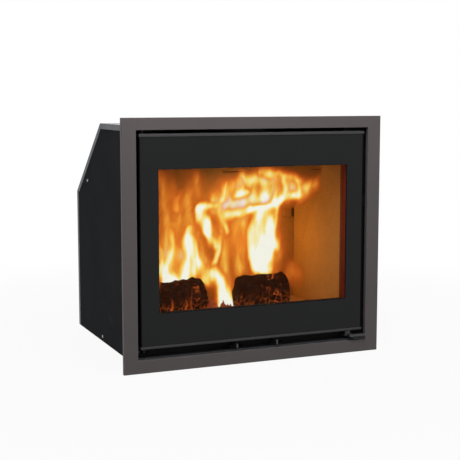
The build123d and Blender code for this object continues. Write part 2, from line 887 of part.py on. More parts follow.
def slide_y():
    """Front and back edge of the slide plates."""
    front = jamb_back_y + air_box_sheet + guide_width
    return front, front + slide_depth


def valve_x():
    """Left and right end of the space under the valve plate."""
    reach = slide_outer + slide_travel + valve_end
    return primary_tab_x - reach, secondary_tab_x + reach


def slides():
    """Tab place of each slide and the side that its plate reaches out to."""
    return [(primary_tab_x, -1), (secondary_tab_x, 1)]


def port_y():
    """Front and back edge of the ports."""
    middle = sum(slide_y()) / 2
    return middle - valve_port_depth / 2, middle + valve_port_depth / 2


def make_air_box():
    """Wall round the air chamber, with slots for the slides and an opening to the plenum."""
    y = (jamb_back_y, box_back_y)
    inner_y = (y[0] + air_box_sheet, y[1] - air_box_sheet)
    inner = box_x - air_box_sheet
    z = (base_sheet, floor_low)
    wall = block((-box_x, box_x), y, z) - block((-inner, inner), inner_y, past(z))
    low, high = slide_z()
    reach = slide_neck_half + slide_travel + slide_play
    slot_z = (low - slide_play, high + slide_play)
    for x in (primary_tab_x, secondary_tab_x):
        wall -= block((x - reach, x + reach), past((y[0], inner_y[0])), slot_z)
    inlet = plenum_width / 2 - plenum_sheet
    return wall - block((-inlet, inlet), past((inner_y[1], y[1])), past(z))


def make_air_slide(x, outward):
    """Slide plate with a port, a neck through the wall and the tab that a finger moves."""
    low, high = slide_z()
    front, back = slide_y()
    tab_front = door_front_y
    tab_back = jamb_back_y - tab_tail_gap
    half = tab_thickness / 2
    ends = sorted((x - outward * slide_inner, x + outward * slide_outer))
    slide = block(ends, (front, back), (low, high))
    slide -= block((x - valve_port_half, x + valve_port_half), port_y(), past((low, high)))
    neck_y = (tab_back - guide_width, front)
    slide += block((x - slide_neck_half, x + slide_neck_half), neck_y, (low, high))
    tab = block((x - half, x + half), (tab_front, tab_back), (tab_low, tab_low + tab_height))
    tab = fillet(tab.edges().filter_by(Axis.X).sort_by(Axis.Y)[0:2], tab_thickness / 2)
    return slide + tab


def make_slide_guides():
    """Two strips on the base that the slide plates run on."""
    low_x, high_x = valve_x()
    front, back = slide_y()
    z = (base_sheet, base_sheet + guide_height)
    strips = [(front, front + guide_width), (back - guide_width, back)]
    return group([block((low_x, high_x), strip, z) for strip in strips])


def make_valve_plate():
    """Fixed plate over the slides, with one port for each and a foot at either end."""
    low_x, high_x = valve_x()
    front, back = slide_y()
    low = slide_z()[1] + slide_play
    high = low + valve_sheet
    valve = block((low_x - valve_sheet, high_x + valve_sheet), (front, back), (low, high))
    for x, outward in slides():
        port_x = x + outward * slide_travel
        port = (port_x - valve_port_half, port_x + valve_port_half)
        valve -= block(port, port_y(), past((low, high)))
    for x in (low_x - valve_sheet, high_x):
        valve += block((x, x + valve_sheet), (front, back), (base_sheet, low))
    return valve


# --- Door ----------------------------------------------------------------------------------
def rail_screw_places(side):
    """Places of the three screws along a rail: side is 1 for the top rail and -1 for the bottom."""
    outer = door_x - (top_screw_inset if side > 0 else bottom_screw_inset)
    return [-outer, 0, outer]


def make_door_frame():
    """Folded door frame: side walls, rear plate, window reveal and the glass flange."""
    low, high = door_low + rail_height, door_high - rail_height
    inner_x = door_x - door_sheet
    plate_y = (door_back_y - door_rear_plate, door_back_y)
    wall = block((inner_x, door_x), (door_front_y, door_back_y), (low, high))
    frame = wall + mirrored(wall) + block((-door_x, door_x), plate_y, (door_low, door_high))
    reveal = (window_x + window_reveal, window_low - window_reveal, window_high + window_reveal)
    flange_y = glass_back_y + glass_gasket_thickness
    frame += window_block(reveal, door_sheet, (flange_y, plate_y[0]))
    frame += window_block(reveal, glass_flange, (flange_y, flange_y + door_sheet))
    inside_y = (glass_back_y + glass_play, plate_y[0])
    for side, edge in ((1, high), (-1, low)):
        block_z = sorted((edge, edge - side * rail_block_height))
        for x in rail_screw_places(side):
            frame += block((x - rail_block_half, x + rail_block_half), inside_y, block_z)
            frame -= upright(screw_size / 2 + screw_play, x, rail_screw_y(), past(block_z))
        hinge_z = sorted((edge, edge - side * hinge_pin_grip))
        frame += block((-inner_x, -inner_x + hinge_block), inside_y, hinge_z)
        frame -= upright(hinge_pin_size / 2 + screw_play / 2, hinge_x, hinge_y, past(hinge_z))
    frame += block((lever_x - lever_hub, lever_x + lever_hub), inside_y, bearing_z())
    frame -= upright(lever_shaft_size / 2 + running_play, lever_x, lever_y, past(bearing_z()))
    frame -= window_block(reveal, 0, (flange_y - over, door_back_y + over))
    return frame - latch_slot(plate_y)


def window_block(reveal, grow, y):
    """Block over the window's reveal, grown by the given width all round."""
    half, low, high = reveal
    return block((-half - grow, half + grow), y, (low - grow, high + grow))


def rail_screw_y():
    """Depth of the rail screws."""
    return door_front_y + rail_screw_setback


def hinge_pin_span(side):
    """Lower and upper end of the hinge pin: side is 1 for the upper pin and -1 for the lower."""
    edge = door_high if side > 0 else door_low
    inside = edge - side * (rail_height + hinge_pin_grip)
    outside = edge + side * (hinge_gap + fitting_sheet + hinge_gap)
    return tuple(sorted((inside, outside)))


def latch_z():
    """Lower and upper face of the latch tongue."""
    low = door_low + rail_height + latch_low
    return low, low + tongue_height


def latch_slot(plate_y):
    """Slot in the door's rear plate that the catch reaches through."""
    low, high = latch_z()
    x = (lever_x - catch_offset - fitting_sheet, lever_x + tongue_half)
    return block(x, past(plate_y), (low - 2 * over, high + 2 * over))


def bearing_z():
    """Lower and upper face of the shaft's upper bearing."""
    low = latch_z()[1] + bearing_rise
    return low, low + fitting_sheet


def make_rail(side):
    """Steel rail that grips the glass: side is 1 for the top rail and -1 for the bottom."""
    edge = door_high if side > 0 else door_low
    inner = edge - side * rail_height
    depth = (door_front_y, door_back_y - door_rear_plate)
    rail = block((-door_x, door_x), depth, sorted((edge, inner)))
    corner = rail.edges().filter_by(Axis.X).sort_by(Axis.Y)[0:2].sort_by(Axis.Z)
    rail = fillet(corner[-1 if side > 0 else 0], rail_round)
    groove_y = (glass_front_y, glass_back_y + glass_play / 2)
    groove_z = sorted((inner - side * over, inner + side * (glass_hold + glass_play)))
    rail -= block(past((-door_x, door_x)), groove_y, groove_z)
    through = past(sorted((edge, inner)))
    rail -= upright(hinge_pin_size / 2 + screw_play, hinge_x, hinge_y, through)
    for x in rail_screw_places(side):
        rail -= upright(screw_size / 2 + screw_play, x, rail_screw_y(), through)
    if side < 0:
        rail -= upright(lever_shaft_size / 2 + running_play + bush_wall, lever_x, lever_y, through)
    return rail


def make_rail_screws():
    """Screws through the rails into the door frame's blocks."""
    screws = []
    for side, edge in ((1, door_high), (-1, door_low)):
        for x in rail_screw_places(side):
            head = sorted((edge, edge + side * small_screw_height))
            shank = sorted((edge, edge - side * (rail_height + rail_block_height)))
            screw = upright(small_screw_head / 2, x, rail_screw_y(), head)
            screws.append(screw + upright(screw_size / 2, x, rail_screw_y(), shank))
    return group(screws)


def make_door_glass():
    """One ceramic pane over the whole door, held in the rails' grooves."""
    half = door_x - door_sheet - glass_play
    z = (door_low + rail_height - glass_hold, door_high - rail_height + glass_hold)
    return block((-half, half), (glass_front_y, glass_back_y), z)


def make_glass_gasket():
    """Flat gasket between the glass and the frame's flange."""
    half = window_x + window_reveal + glass_flange
    z = (window_low - window_reveal - glass_flange, window_high + window_reveal + glass_flange)
    width = glass_gasket_width
    return ring(half, (glass_back_y, glass_back_y + glass_gasket_thickness), z, width, width, width)


def make_door_gasket():
    """Rope seal on the door's back, round the firebox opening."""
    half = firebox_x + rope_inset + rope_width
    z = (hearth_z - rope_inset - rope_width, jamb_open_high + rope_inset + rope_width)
    rope = ring(half, (door_back_y, jamb_y - rope_gap), z, rope_width, rope_width, rope_width)
    outer = rope.edges().filter_by(Axis.Y).sort_by(lambda edge: -abs(edge.center().X))[0:4]
    return fillet(outer, rope_corner)


def make_hinge_pins():
    """Upper and lower hinge pin, held in the door frame's blocks."""
    pins = []
    for side in (1, -1):
        pins.append(upright(hinge_pin_size / 2, hinge_x, hinge_y, hinge_pin_span(side)))
    return group(pins)


def hinge_plate_z(side):
    """Lower and upper face of a hinge bracket's flat plate."""
    edge = door_high if side > 0 else door_low
    return tuple(sorted((edge + side * hinge_gap, edge + side * (hinge_gap + fitting_sheet))))


def hinge_leg_z(side):
    """Lower and upper edge of a hinge bracket's leg on the firebox front."""
    near = hinge_plate_z(side)[1 if side > 0 else 0]
    return tuple(sorted((near, near + side * hinge_leg)))


def make_hinge_bracket(side):
    """Angle bracket with the hinge bore: side is 1 for the upper and -1 for the lower."""
    x = (hinge_x - hinge_half, hinge_x + hinge_half)
    plate_z = hinge_plate_z(side)
    leg_z = hinge_leg_z(side)
    bracket = block(x, (hinge_y, jamb_y), plate_z)
    bracket += upright(hinge_pin_size, hinge_x, hinge_y, plate_z)
    bracket += block(x, (jamb_y - fitting_sheet, jamb_y), leg_z)
    bracket -= upright(hinge_pin_size / 2 + running_play, hinge_x, hinge_y, past(plate_z))
    for screw_x in hinge_screw_x():
        bracket -= countersunk(screw_x, (jamb_y - fitting_sheet, jamb_back_y), sum(leg_z) / 2, screw_play)
    return bracket


def hinge_screw_x():
    """Places of the two screws in each hinge bracket."""
    return [hinge_x - hinge_half / 2, hinge_x + hinge_half / 2]


def catch_screw_places():
    """Places of the two screws in the catch's foot."""
    x = lever_x - catch_offset - catch_foot / 2
    return [(x + side * catch_foot / 4, sum(catch_z()) / 2) for side in (-1, 1)]


def jamb_screw_places():
    """Holes in the firebox front, for the hinge brackets and the catch."""
    places = [(x, sum(hinge_leg_z(side)) / 2) for side in (1, -1) for x in hinge_screw_x()]
    return places + catch_screw_places()


def countersunk(x, y, z, grow=0.0):
    """Screw along Y with its flat head level with the near end of y, or its hole if grown."""
    head = along_y(small_screw_head / 2 + grow, x, (y[0], y[0] + small_screw_height), z)
    return head + along_y(screw_size / 2 + grow, x, y, z)


def make_front_screws():
    """Screws that hold the hinge brackets and the catch on the firebox front."""
    y = (jamb_y - fitting_sheet, jamb_back_y)
    return group([countersunk(x, y, z) for x, z in jamb_screw_places()])


def make_hinge_washers():
    """Thin washers in the gaps between the door and the hinge brackets."""
    washers = []
    for side, edge in ((1, door_high), (-1, door_low)):
        z = sorted((edge + side * slide_play / 2, edge + side * (hinge_gap - slide_play / 2)))
        washer = upright(hinge_pin_size / 2 + hinge_washer_width, hinge_x, hinge_y, z)
        washers.append(washer - upright(hinge_pin_size / 2 + running_play, hinge_x, hinge_y, past(z)))
    return group(washers)


# --- Door lever and latch ------------------------------------------------------------------
def make_door_lever():
    """Flat lever under the door: hub, web and a grip bar that stands ahead of the trim."""
    z = (lever_low, lever_low + lever_thickness)
    grip_y = (front_y - lever_reach, front_y - lever_reach + lever_grip)
    left = lever_x - lever_hub / 2
    lever = block((left, lever_tip_x), grip_y, z)
    lever += block((left, lever_x + lever_hub), (grip_y[0] + lever_grip / 2, lever_y), z)
    lever += upright(lever_hub, lever_x, lever_y, z)
    corners = lever.edges().filter_by(Axis.Z).sort_by(Axis.Y)[0:2]
    lever = fillet(corners, lever_grip / 3)
    lever += upright(lever_hub - lever_round, lever_x, lever_y, (z[1], door_low - bush_flange - boss_play))
    return lever - upright(lever_shaft_size / 2, lever_x, lever_y, (z[0] - over, door_low))


def make_lever_shaft():
    """Upright shaft from the lever to the upper bearing."""
    return upright(lever_shaft_size / 2, lever_x, lever_y, (lever_low, bearing_z()[1] + fitting_sheet))


def make_lever_bush():
    """Flanged bush in the bottom rail."""
    radius = lever_shaft_size / 2 + running_play
    z = (door_low - bush_flange, door_low + rail_height)
    bush = upright(radius + bush_wall, lever_x, lever_y, z)
    bush += upright(radius + bush_wall + bush_flange_width, lever_x, lever_y, (z[0], door_low))
    return bush - upright(radius, lever_x, lever_y, past(z))


def make_latch_tongue():
    """Cam on the shaft whose finger sits behind the catch's lip."""
    z = latch_z()
    finger_y = (lever_y - tongue_half + slide_play, lever_y + tongue_half)
    finger = block((lever_x - tongue_length, lever_x), finger_y, z)
    tongue = finger + upright(lever_shaft_size / 2 + tongue_hub_wall, lever_x, lever_y, z)
    return tongue - upright(lever_shaft_size / 2, lever_x, lever_y, past(z))


def catch_z():
    """Lower and upper edge of the catch."""
    middle = sum(latch_z()) / 2
    return middle - catch_height / 2, middle + catch_height / 2


def make_latch_catch():
    """Hooked plate on the firebox front: foot, leg and the lip that holds the tongue."""
    z = catch_z()
    far = lever_x - catch_offset
    lip_back = lever_y - tongue_half
    foot = block((far - catch_foot, far + fitting_sheet), (jamb_y - fitting_sheet, jamb_y), z)
    leg = block((far, far + fitting_sheet), (lip_back - fitting_sheet, jamb_y), z)
    lip = block((far, far + catch_lip), (lip_back - fitting_sheet, lip_back), z)
    catch = foot + leg + lip
    for x, screw_z in catch_screw_places():
        catch -= countersunk(x, (jamb_y - fitting_sheet, jamb_back_y), screw_z, screw_play)
    return catch


# --- The whole insert ----------------------------------------------------------------------
def make_casing_nodes():
    """Trim, casing, screws and levelling parts."""
    side_panel = make_side_panel()
    return {
        "trim_frame": make_trim_frame(),
        "trim_brackets": make_trim_brackets(),
        "side_panel_left": mirrored(side_panel),
        "side_panel_right": side_panel,
        "top_cover": make_top_cover(),
        "slope_cover": make_slope_cover(),
        "rear_cover": make_rear_cover(),
        "base_plate": make_base_plate(),
        "spacer_brackets": make_spacer_brackets(),
        "casing_screws": make_casing_screws(),
        "levelling_screws": make_levelling_screws(),
        "levelling_nuts": make_levelling_nuts(),
    }


def make_firebox_nodes():
    """Welded firebox, its linings, hearth, flue and air supply."""
    side_plate = make_firebox_side()
    riser = make_air_riser()
    side_lining = make_side_lining()
    nodes = {
        "firebox_floor": make_firebox_floor(),
        "firebox_side_left": mirrored(side_plate),
        "firebox_side_right": side_plate,
        "firebox_back": make_firebox_back(),
        "firebox_top": make_firebox_top(),
        "firebox_front": make_firebox_front(),
        "air_riser_left": mirrored(riser),
        "air_riser_right": riser,
        "air_wash_manifold": make_air_manifold(),
        "rear_lining": make_rear_lining(),
        "side_lining_left": mirrored(side_lining),
        "side_lining_right": side_lining,
        "baffle": make_baffle(),
        "smoke_deflector": make_deflector(),
        "deflector_rests": make_deflector_rests(),
        "grate": make_grate(),
        "ash_well": make_ash_well(),
        "ash_pan": make_ash_pan(),
        "log_guard": make_log_guard(),
        "flue_collar": make_flue_collar(),
        "flue_bolts": make_flue_bolts(),
        "air_inlet_collar": make_air_inlet(),
        "air_plenum": make_air_plenum(),
        "air_box": make_air_box(),
        "slide_guides": make_slide_guides(),
        "valve_plate": make_valve_plate(),
    }
    nodes.update(make_floor_linings())
    return nodes


def make_moving_nodes():
    """Door, lever, latch, hinge fittings and air slides."""
    return {
        "door_frame": make_door_frame(),
        "door_glass": make_door_glass(),
        "door_top_rail": make_rail(1),
        "door_bottom_rail": make_rail(-1),
        "door_rail_screws": make_rail_screws(),
        "glass_gasket": make_glass_gasket(),
        "door_gasket": make_door_gasket(),
        "hinge_pins": make_hinge_pins(),
        "lever_bush": make_lever_bush(),
        "hinge_brackets": group([make_hinge_bracket(1), make_hinge_bracket(-1)]),
        "hinge_washers": make_hinge_washers(),
        "front_screws": make_front_screws(),
        "latch_catch": make_latch_catch(),
        "door_lever": make_door_lever(),
        "lever_shaft": make_lever_shaft(),
        "latch_tongue": make_latch_tongue(),
        "primary_air_slide": make_air_slide(*slides()[0]),
        "secondary_air_slide": make_air_slide(*slides()[1]),
    }


os.makedirs("parts", exist_ok=True)
nodes = {**make_casing_nodes(), **make_firebox_nodes(), **make_moving_nodes()}
for name, shape in nodes.items():
    export_step(shape, f"parts/{name}.step")
print(f"{len(nodes)} nodes written")
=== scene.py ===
"""Looks of a built-in wood fireplace insert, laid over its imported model.

Metres. X runs to the right seen from the room, Y into the wall, Z up. Finishes are worked out
from Object coordinates, so speckle, grain and wear keep their real size from piece to piece.
The fire is a backdrop behind the pane: it shows in renders and is no part of the insert.
"""

import logging
from collections.abc import Callable
from dataclasses import dataclass
from enum import Enum
from math import pi, radians
from typing import Any

import bmesh
import bpy
import numpy as np
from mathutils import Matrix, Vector


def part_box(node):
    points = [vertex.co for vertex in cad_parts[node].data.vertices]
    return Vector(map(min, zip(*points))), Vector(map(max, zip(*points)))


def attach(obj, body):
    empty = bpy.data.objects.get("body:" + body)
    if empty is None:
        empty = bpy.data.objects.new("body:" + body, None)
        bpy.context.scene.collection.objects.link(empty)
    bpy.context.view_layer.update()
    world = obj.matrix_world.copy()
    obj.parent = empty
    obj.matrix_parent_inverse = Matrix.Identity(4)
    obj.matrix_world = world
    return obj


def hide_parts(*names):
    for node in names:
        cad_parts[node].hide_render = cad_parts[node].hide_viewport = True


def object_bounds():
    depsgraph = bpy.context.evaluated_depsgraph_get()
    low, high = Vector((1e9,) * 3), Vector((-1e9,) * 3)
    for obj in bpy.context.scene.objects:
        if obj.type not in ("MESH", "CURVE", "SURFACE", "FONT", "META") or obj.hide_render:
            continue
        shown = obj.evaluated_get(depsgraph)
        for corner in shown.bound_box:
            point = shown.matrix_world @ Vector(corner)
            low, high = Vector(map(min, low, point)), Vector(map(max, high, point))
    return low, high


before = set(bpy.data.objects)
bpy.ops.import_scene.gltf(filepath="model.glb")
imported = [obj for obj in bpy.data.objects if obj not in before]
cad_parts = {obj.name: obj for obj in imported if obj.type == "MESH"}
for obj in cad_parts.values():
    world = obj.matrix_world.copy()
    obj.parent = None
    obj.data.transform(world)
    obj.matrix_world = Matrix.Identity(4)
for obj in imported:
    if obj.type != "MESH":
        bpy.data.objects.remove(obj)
cad_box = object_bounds()

log = logging.getLogger("insert")
MM = 0.001
# The printed border of the pane, from its edges to the window.
BORDER_SIDE, BORDER_LOW, BORDER_HIGH = 45 * MM, 82 * MM, 81 * MM
# Where the camera stands.
EYE = (-1.0815, -2.6349, 0.6282)
# Points nearer than this are one, facets flatter than FLAT are one face, edges past SHARP are eased.
WELD, FLAT, SHARP = 0.002 * MM, radians(0.5), radians(35)
BLACK, WHITE = (0.0, 0.0, 0.0), (1.0, 1.0, 1.0)
EVEN = (1.0, 1.0, 1.0)

Colour = tuple[float, float, float]
Place = tuple[float, float, float]
Span = tuple[float, float]
Counts = tuple[int, int]
Row = tuple[float, ...]
Socket = bpy.types.NodeSocket
Material = bpy.types.Material
Holder = Material | bpy.types.World
Piece = bpy.types.Object


def shade(colour: Colour, factor: float) -> Colour:
    """The colour, darker or lighter by the factor."""
    return tuple(factor * part for part in colour)


# --- Shader maths --------------------------------------------------------------------------
class Value:
    """A number that changes over a surface. Arithmetic on it adds Math nodes."""

    def __init__(self, graph: "Graph", socket: Socket) -> None:
        """Wraps one output socket of the graph."""
        self.graph = graph
        self.socket = socket

    def _math(self, operation: str, *terms: "Number", clamp: bool = False) -> "Value":
        """Adds one Math node on the terms, in their order.

        Args:
            operation: what the node works out.
            *terms: its inputs, in their order.
            clamp: whether the result is kept between 0 and 1.

        Returns:
            The result.
        """
        settings = {"operation": operation, "use_clamp": clamp}
        node = self.graph.node("ShaderNodeMath", settings, dict(enumerate(terms)))
        return Value(self.graph, node.outputs[0])

    def __add__(self, other: "Number") -> "Value":
        """Sum."""
        return self._math("ADD", self, other)

    __radd__ = __add__

    def __sub__(self, other: "Number") -> "Value":
        """Difference."""
        return self._math("SUBTRACT", self, other)

    def __rsub__(self, other: "Number") -> "Value":
        """Difference with the value last."""
        return self._math("SUBTRACT", other, self)

    def __mul__(self, other: "Number") -> "Value":
        """Product."""
        return self._math("MULTIPLY", self, other)

    __rmul__ = __mul__

    def __abs__(self) -> "Value":
        """Size without its sign."""
        return self._math("ABSOLUTE", self)

    def larger(self, other: "Number") -> "Value":
        """The larger of the two."""
        return self._math("MAXIMUM", self, other)

    def clamped(self) -> "Value":
        """The value kept between 0 and 1."""
        return self._math("ADD", self, 0.0, clamp=True)

    def step(self, low: float, high: float) -> "Value":
        """Smooth step from 0 at low to 1 at high.

        Args:
            low: value at which the step starts.
            high: value at which it ends; below low, the step falls instead.

        Returns:
            The step, between 0 and 1.
        """
        flip = high < low
        ends = {"From Min": min(low, high), "From Max": max(low, high)}
        ends |= {"To Min": float(flip), "To Max": float(not flip)}
        settings = {"interpolation_type": "SMOOTHSTEP"}
        node = self.graph.node("ShaderNodeMapRange", settings, {"Value": self, **ends})
        return Value(self.graph, node.outputs[0])


Number = Value | float | int
Paint = Socket | Colour


class Graph:
    """Node tree of one material or of the world."""

    def __init__(self, holder: Holder) -> None:
        """Empties the tree of the material or world that it fills.

        Args:
            holder: the material or world.
        """
        self.holder = holder
        self.holder.use_nodes = True
        self.tree = self.holder.node_tree
        self.tree.nodes.clear()
        self.coordinates = self.node("ShaderNodeTexCoord").outputs["Object"]

    def node(
        self,
        kind: str,
        settings: dict[str, Any] | None = None,
        sockets: dict[int | str, Any] | None = None,
    ) -> bpy.types.Node:
        """Adds a node, sets it up and feeds its inputs.

        Args:
            kind: the node's type.
            settings: its properties, set first; stops gives a ramp's (place, colour) pairs.
            sockets: number, colour, value or socket for each input, by name or index.

        Returns:
            The new node.
        """
        made = self.tree.nodes.new(kind)
        for name, setting in (settings or {}).items():
            if name == "stops":
                self._set_stops(made.color_ramp, setting)
            else:
                setattr(made, name, setting)
        for key, given in (sockets or {}).items():
            self._feed(made.inputs[key], given)
        return made

    def _set_stops(self, ramp: bpy.types.ColorRamp, stops: list[tuple[float, Colour]]) -> None:
        """Gives a ramp its stops.

        Args:
            ramp: the ramp.
            stops: place and colour of each stop.
        """
        while len(ramp.elements) < len(stops):
            ramp.elements.new(1.0)
        for element, (place, colour) in zip(ramp.elements, stops):
            element.position = place
            element.color = (*colour, 1.0)

    def _feed(self, socket: Socket, given: Any) -> None:
        """Links or sets one input.

        Args:
            socket: the input.
            given: number, colour, value or socket.
        """
        if isinstance(given, Value):
            given = given.socket
        if isinstance(given, Socket):
            self.tree.links.new(given, socket)
        elif socket.type == "RGBA" and len(given) == 3:
            socket.default_value = (*given, 1.0)
        else:
            socket.default_value = given

    def axes(self) -> tuple[Value, Value, Value]:
        """Object coordinates in metres as three values."""
        split = self.node("ShaderNodeSeparateXYZ", {}, {0: self.coordinates})
        return tuple(Value(self, output) for output in split.outputs)

    def noise(
        self,
        size: float,
        detail: float = 2.0,
        rough: float = 0.5,
        stretch: Place = EVEN,
        warp: float = 0.0,
    ) -> Value:
        """Soft noise between 0 and 1.

        Args:
            size: width of its largest lumps, in metres.
            detail: how many finer layers it has.
            rough: how strong the finer layers are.
            stretch: factors on the coordinates; a small one draws the pattern out.
            warp: how far the pattern is pulled about.

        Returns:
            The noise.
        """
        place = self.node("ShaderNodeMapping", {}, {"Vector": self.coordinates, "Scale": stretch})
        sockets = {"Vector": place.outputs[0], "Scale": 1.0 / size, "Detail": detail}
        sockets |= {"Roughness": rough, "Distortion": warp}
        return Value(self, self.node("ShaderNodeTexNoise", {}, sockets).outputs[0])

    def cells(self, size: float) -> Value:
        """Voronoi cells of the given width, each with its own random number.

        Args:
            size: width of a cell, in metres.

        Returns:
            The cells' numbers, between 0 and 1.
        """
        sockets = {"Vector": self.coordinates, "Scale": 1.0 / size}
        node = self.node("ShaderNodeTexVoronoi", {}, sockets)
        split = self.node("ShaderNodeSeparateColor", {}, {0: node.outputs["Color"]})
        return Value(self, split.outputs[0])

    def cracks(self, size: float, warp: Value) -> Value:
        """Distance to the nearest joint between Voronoi cells, pulled about by a value.

        Args:
            size: width of a cell, in metres.
            warp: how far the pattern is pulled about.

        Returns:
            The distance, as a share of the cells' width.
        """
        shift = self.node("ShaderNodeVectorMath", {"operation": "SCALE"}, {0: EVEN, "Scale": warp})
        place = self.node("ShaderNodeVectorMath", {}, {0: self.coordinates, 1: shift.outputs[0]})
        sockets = {"Vector": place.outputs[0], "Scale": 1.0 / size}
        node = self.node("ShaderNodeTexVoronoi", {"feature": "DISTANCE_TO_EDGE"}, sockets)
        return Value(self, node.outputs["Distance"])

    def edge(self, radius: float) -> Value:
        """Mask that is 1 on sharp edges and 0 on flats, from a rounded normal against the real one.

        Args:
            radius: how far the mask reaches from an edge, in metres.

        Returns:
            The mask.
        """
        rounded = self.node("ShaderNodeBevel", {"samples": 4}, {"Radius": radius}).outputs[0]
        real = self.node("ShaderNodeNewGeometry").outputs["Normal"]
        dot = self.node("ShaderNodeVectorMath", {"operation": "DOT_PRODUCT"}, {0: rounded, 1: real})
        return Value(self, dot.outputs["Value"]).step(0.995, 0.82)

    def facing_up(self) -> Value:
        """Upward part of the surface's normal, from 0 to 1.

        Returns:
            The upward part.
        """
        normal = self.node("ShaderNodeNewGeometry").outputs["Normal"]
        split = self.node("ShaderNodeSeparateXYZ", {}, {0: normal})
        return Value(self, split.outputs[2]).clamped()

    def seen(self) -> Value:
        """1 for rays from the eye, off metal and through glass, and 0 for all others.

        Returns:
            The mask.
        """
        path = self.node("ShaderNodeLightPath")
        total = Value(self, path.outputs["Is Camera Ray"])
        for kind in ("Is Glossy Ray", "Is Transmission Ray"):
            total = total.larger(Value(self, path.outputs[kind]))
        return total

    def blend(self, mask: Number, first: Paint, second: Paint) -> Socket:
        """Colour that goes from first to second as the mask goes from 0 to 1."""
        sockets = {0: mask, 6: first, 7: second}
        return self.node("ShaderNodeMix", {"data_type": "RGBA"}, sockets).outputs[2]

    def bump(self, height: Value, depth: float, under: Socket | None = None) -> Socket:
        """Normal bent by a height.

        Args:
            height: the relief, from 0 to 1.
            depth: how deep it is, in metres.
            under: normal of a coarser relief that this one lies on.

        Returns:
            The bent normal.
        """
        sockets: dict[int | str, Any] = {"Height": height, "Distance": depth, "Strength": 1.0}
        if under is not None:
            sockets["Normal"] = under
        return self.node("ShaderNodeBump", {}, sockets).outputs[0]

    def surface(self, paint: Paint, rough: Number, **sockets: Any) -> Material:
        """Closes the tree with a Principled shader, whose other inputs are named with _ for spaces.

        Args:
            paint: the base colour.
            rough: the roughness.
            **sockets: the other inputs.

        Returns:
            The filled material.
        """
        named = {"Base Color": paint, "Roughness": rough}
        named |= {key.replace("_", " ").title().replace("Ior", "IOR"): part for key, part in sockets.items()}
        shader = self.node("ShaderNodeBsdfPrincipled", {}, named)
        self.node("ShaderNodeOutputMaterial", {}, {"Surface": shader.outputs[0]})
        return self.holder

    def mixed(self, mask: Value, first: bpy.types.Node, second: bpy.types.Node) -> Holder:
        """Closes the tree with two shaders, from first to second as the mask goes from 0 to 1.

        Args:
            mask: the second shader's share.
            first: the shader at 0.
            second: the shader at 1.

        Returns:
            The filled material or world.
        """
        mix = self.node("ShaderNodeMixShader", {}, {0: mask, 1: first.outputs[0], 2: second.outputs[0]})
        kind = "World" if isinstance(self.holder, bpy.types.World) else "Material"
        self.node(f"ShaderNodeOutput{kind}", {}, {"Surface": mix.outputs[0]})
        return self.holder


def once(name: str, lay_out: Callable[[Graph], Material]) -> Material:
    """The material of that name, laid out at its first use."""
    known = bpy.data.materials.get(name)
    return known or lay_out(Graph(bpy.data.materials.new(name)))


# --- Finishes ------------------------------------------------------------------------------
def past_window(graph: Graph) -> tuple[Value, Value]:
    """Distances past the window's sides and past its outline, which the pane's border leaves.

    Args:
        graph: the material's graph.

    Returns:
        Both distances, in metres, negative inside the window.
    """
    x, _, z = graph.axes()
    corner, far_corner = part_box("door_glass")
    low, high = corner[2] + BORDER_LOW, far_corner[2] - BORDER_HIGH
    side = abs(x) - (far_corner[0] - BORDER_SIDE)
    return side, side.larger(abs(z - (low + high) / 2) - (high - low) / 2)


@dataclass(frozen=True)
class Finish:
    """A finish: its name, the record's slot that it belongs to and its main colour."""

    name: str
    slot: str
    colour: Colour

    def material(self) -> Material:
        """The finish's material, made once."""
        return once(self.name, self.make)

    def tones(self, graph: Graph, mask: Value, low: float, high: float) -> Socket:
        """The main colour, from low to high times itself as the mask goes from 0 to 1."""
        return graph.blend(mask, shade(self.colour, low), shade(self.colour, high))

    def make(self, graph: Graph) -> Material:
        """Lays the finish out in an empty graph."""
        raise NotImplementedError


@dataclass(frozen=True)
class SatinEnamel(Finish):
    """Baked taupe enamel: faint clouds, orange peel, and edges where the coat is thin."""

    rough: float = 0.42
    gloss: float = 0.12
    peel_size: float = 1.3 * MM
    peel_depth: float = 0.02 * MM
    cloud_size: float = 0.16
    primer: Colour = (0.17, 0.155, 0.15)

    def make(self, graph: Graph) -> Material:
        """Lays the finish out in an empty graph.

        Args:
            graph: the empty graph.

        Returns:
            The finish's material.
        """
        cloud = graph.noise(self.cloud_size, 3.0)
        speck = graph.noise(0.7 * MM, 1.0)
        tone = (cloud - 0.5) * 0.5 + (speck - 0.5) * 0.35 + 0.5
        body = self.tones(graph, tone, 0.86, 1.14)
        thin = graph.edge(0.8 * MM) * graph.noise(9 * MM, 3.0).step(0.38, 0.7)
        scuffs = graph.noise(30 * MM, 5.0, 0.62, (1.0, 1.0, 0.3)).step(0.64, 0.78)
        paint = graph.blend(thin * 0.5, body, self.primer)
        rough = self.rough + (cloud - 0.5) * 0.10 + scuffs * 0.10
        peel = graph.bump(graph.noise(self.peel_size, 2.0), self.peel_depth)
        return graph.surface(paint, rough, normal=peel, specular_ior_level=self.gloss)


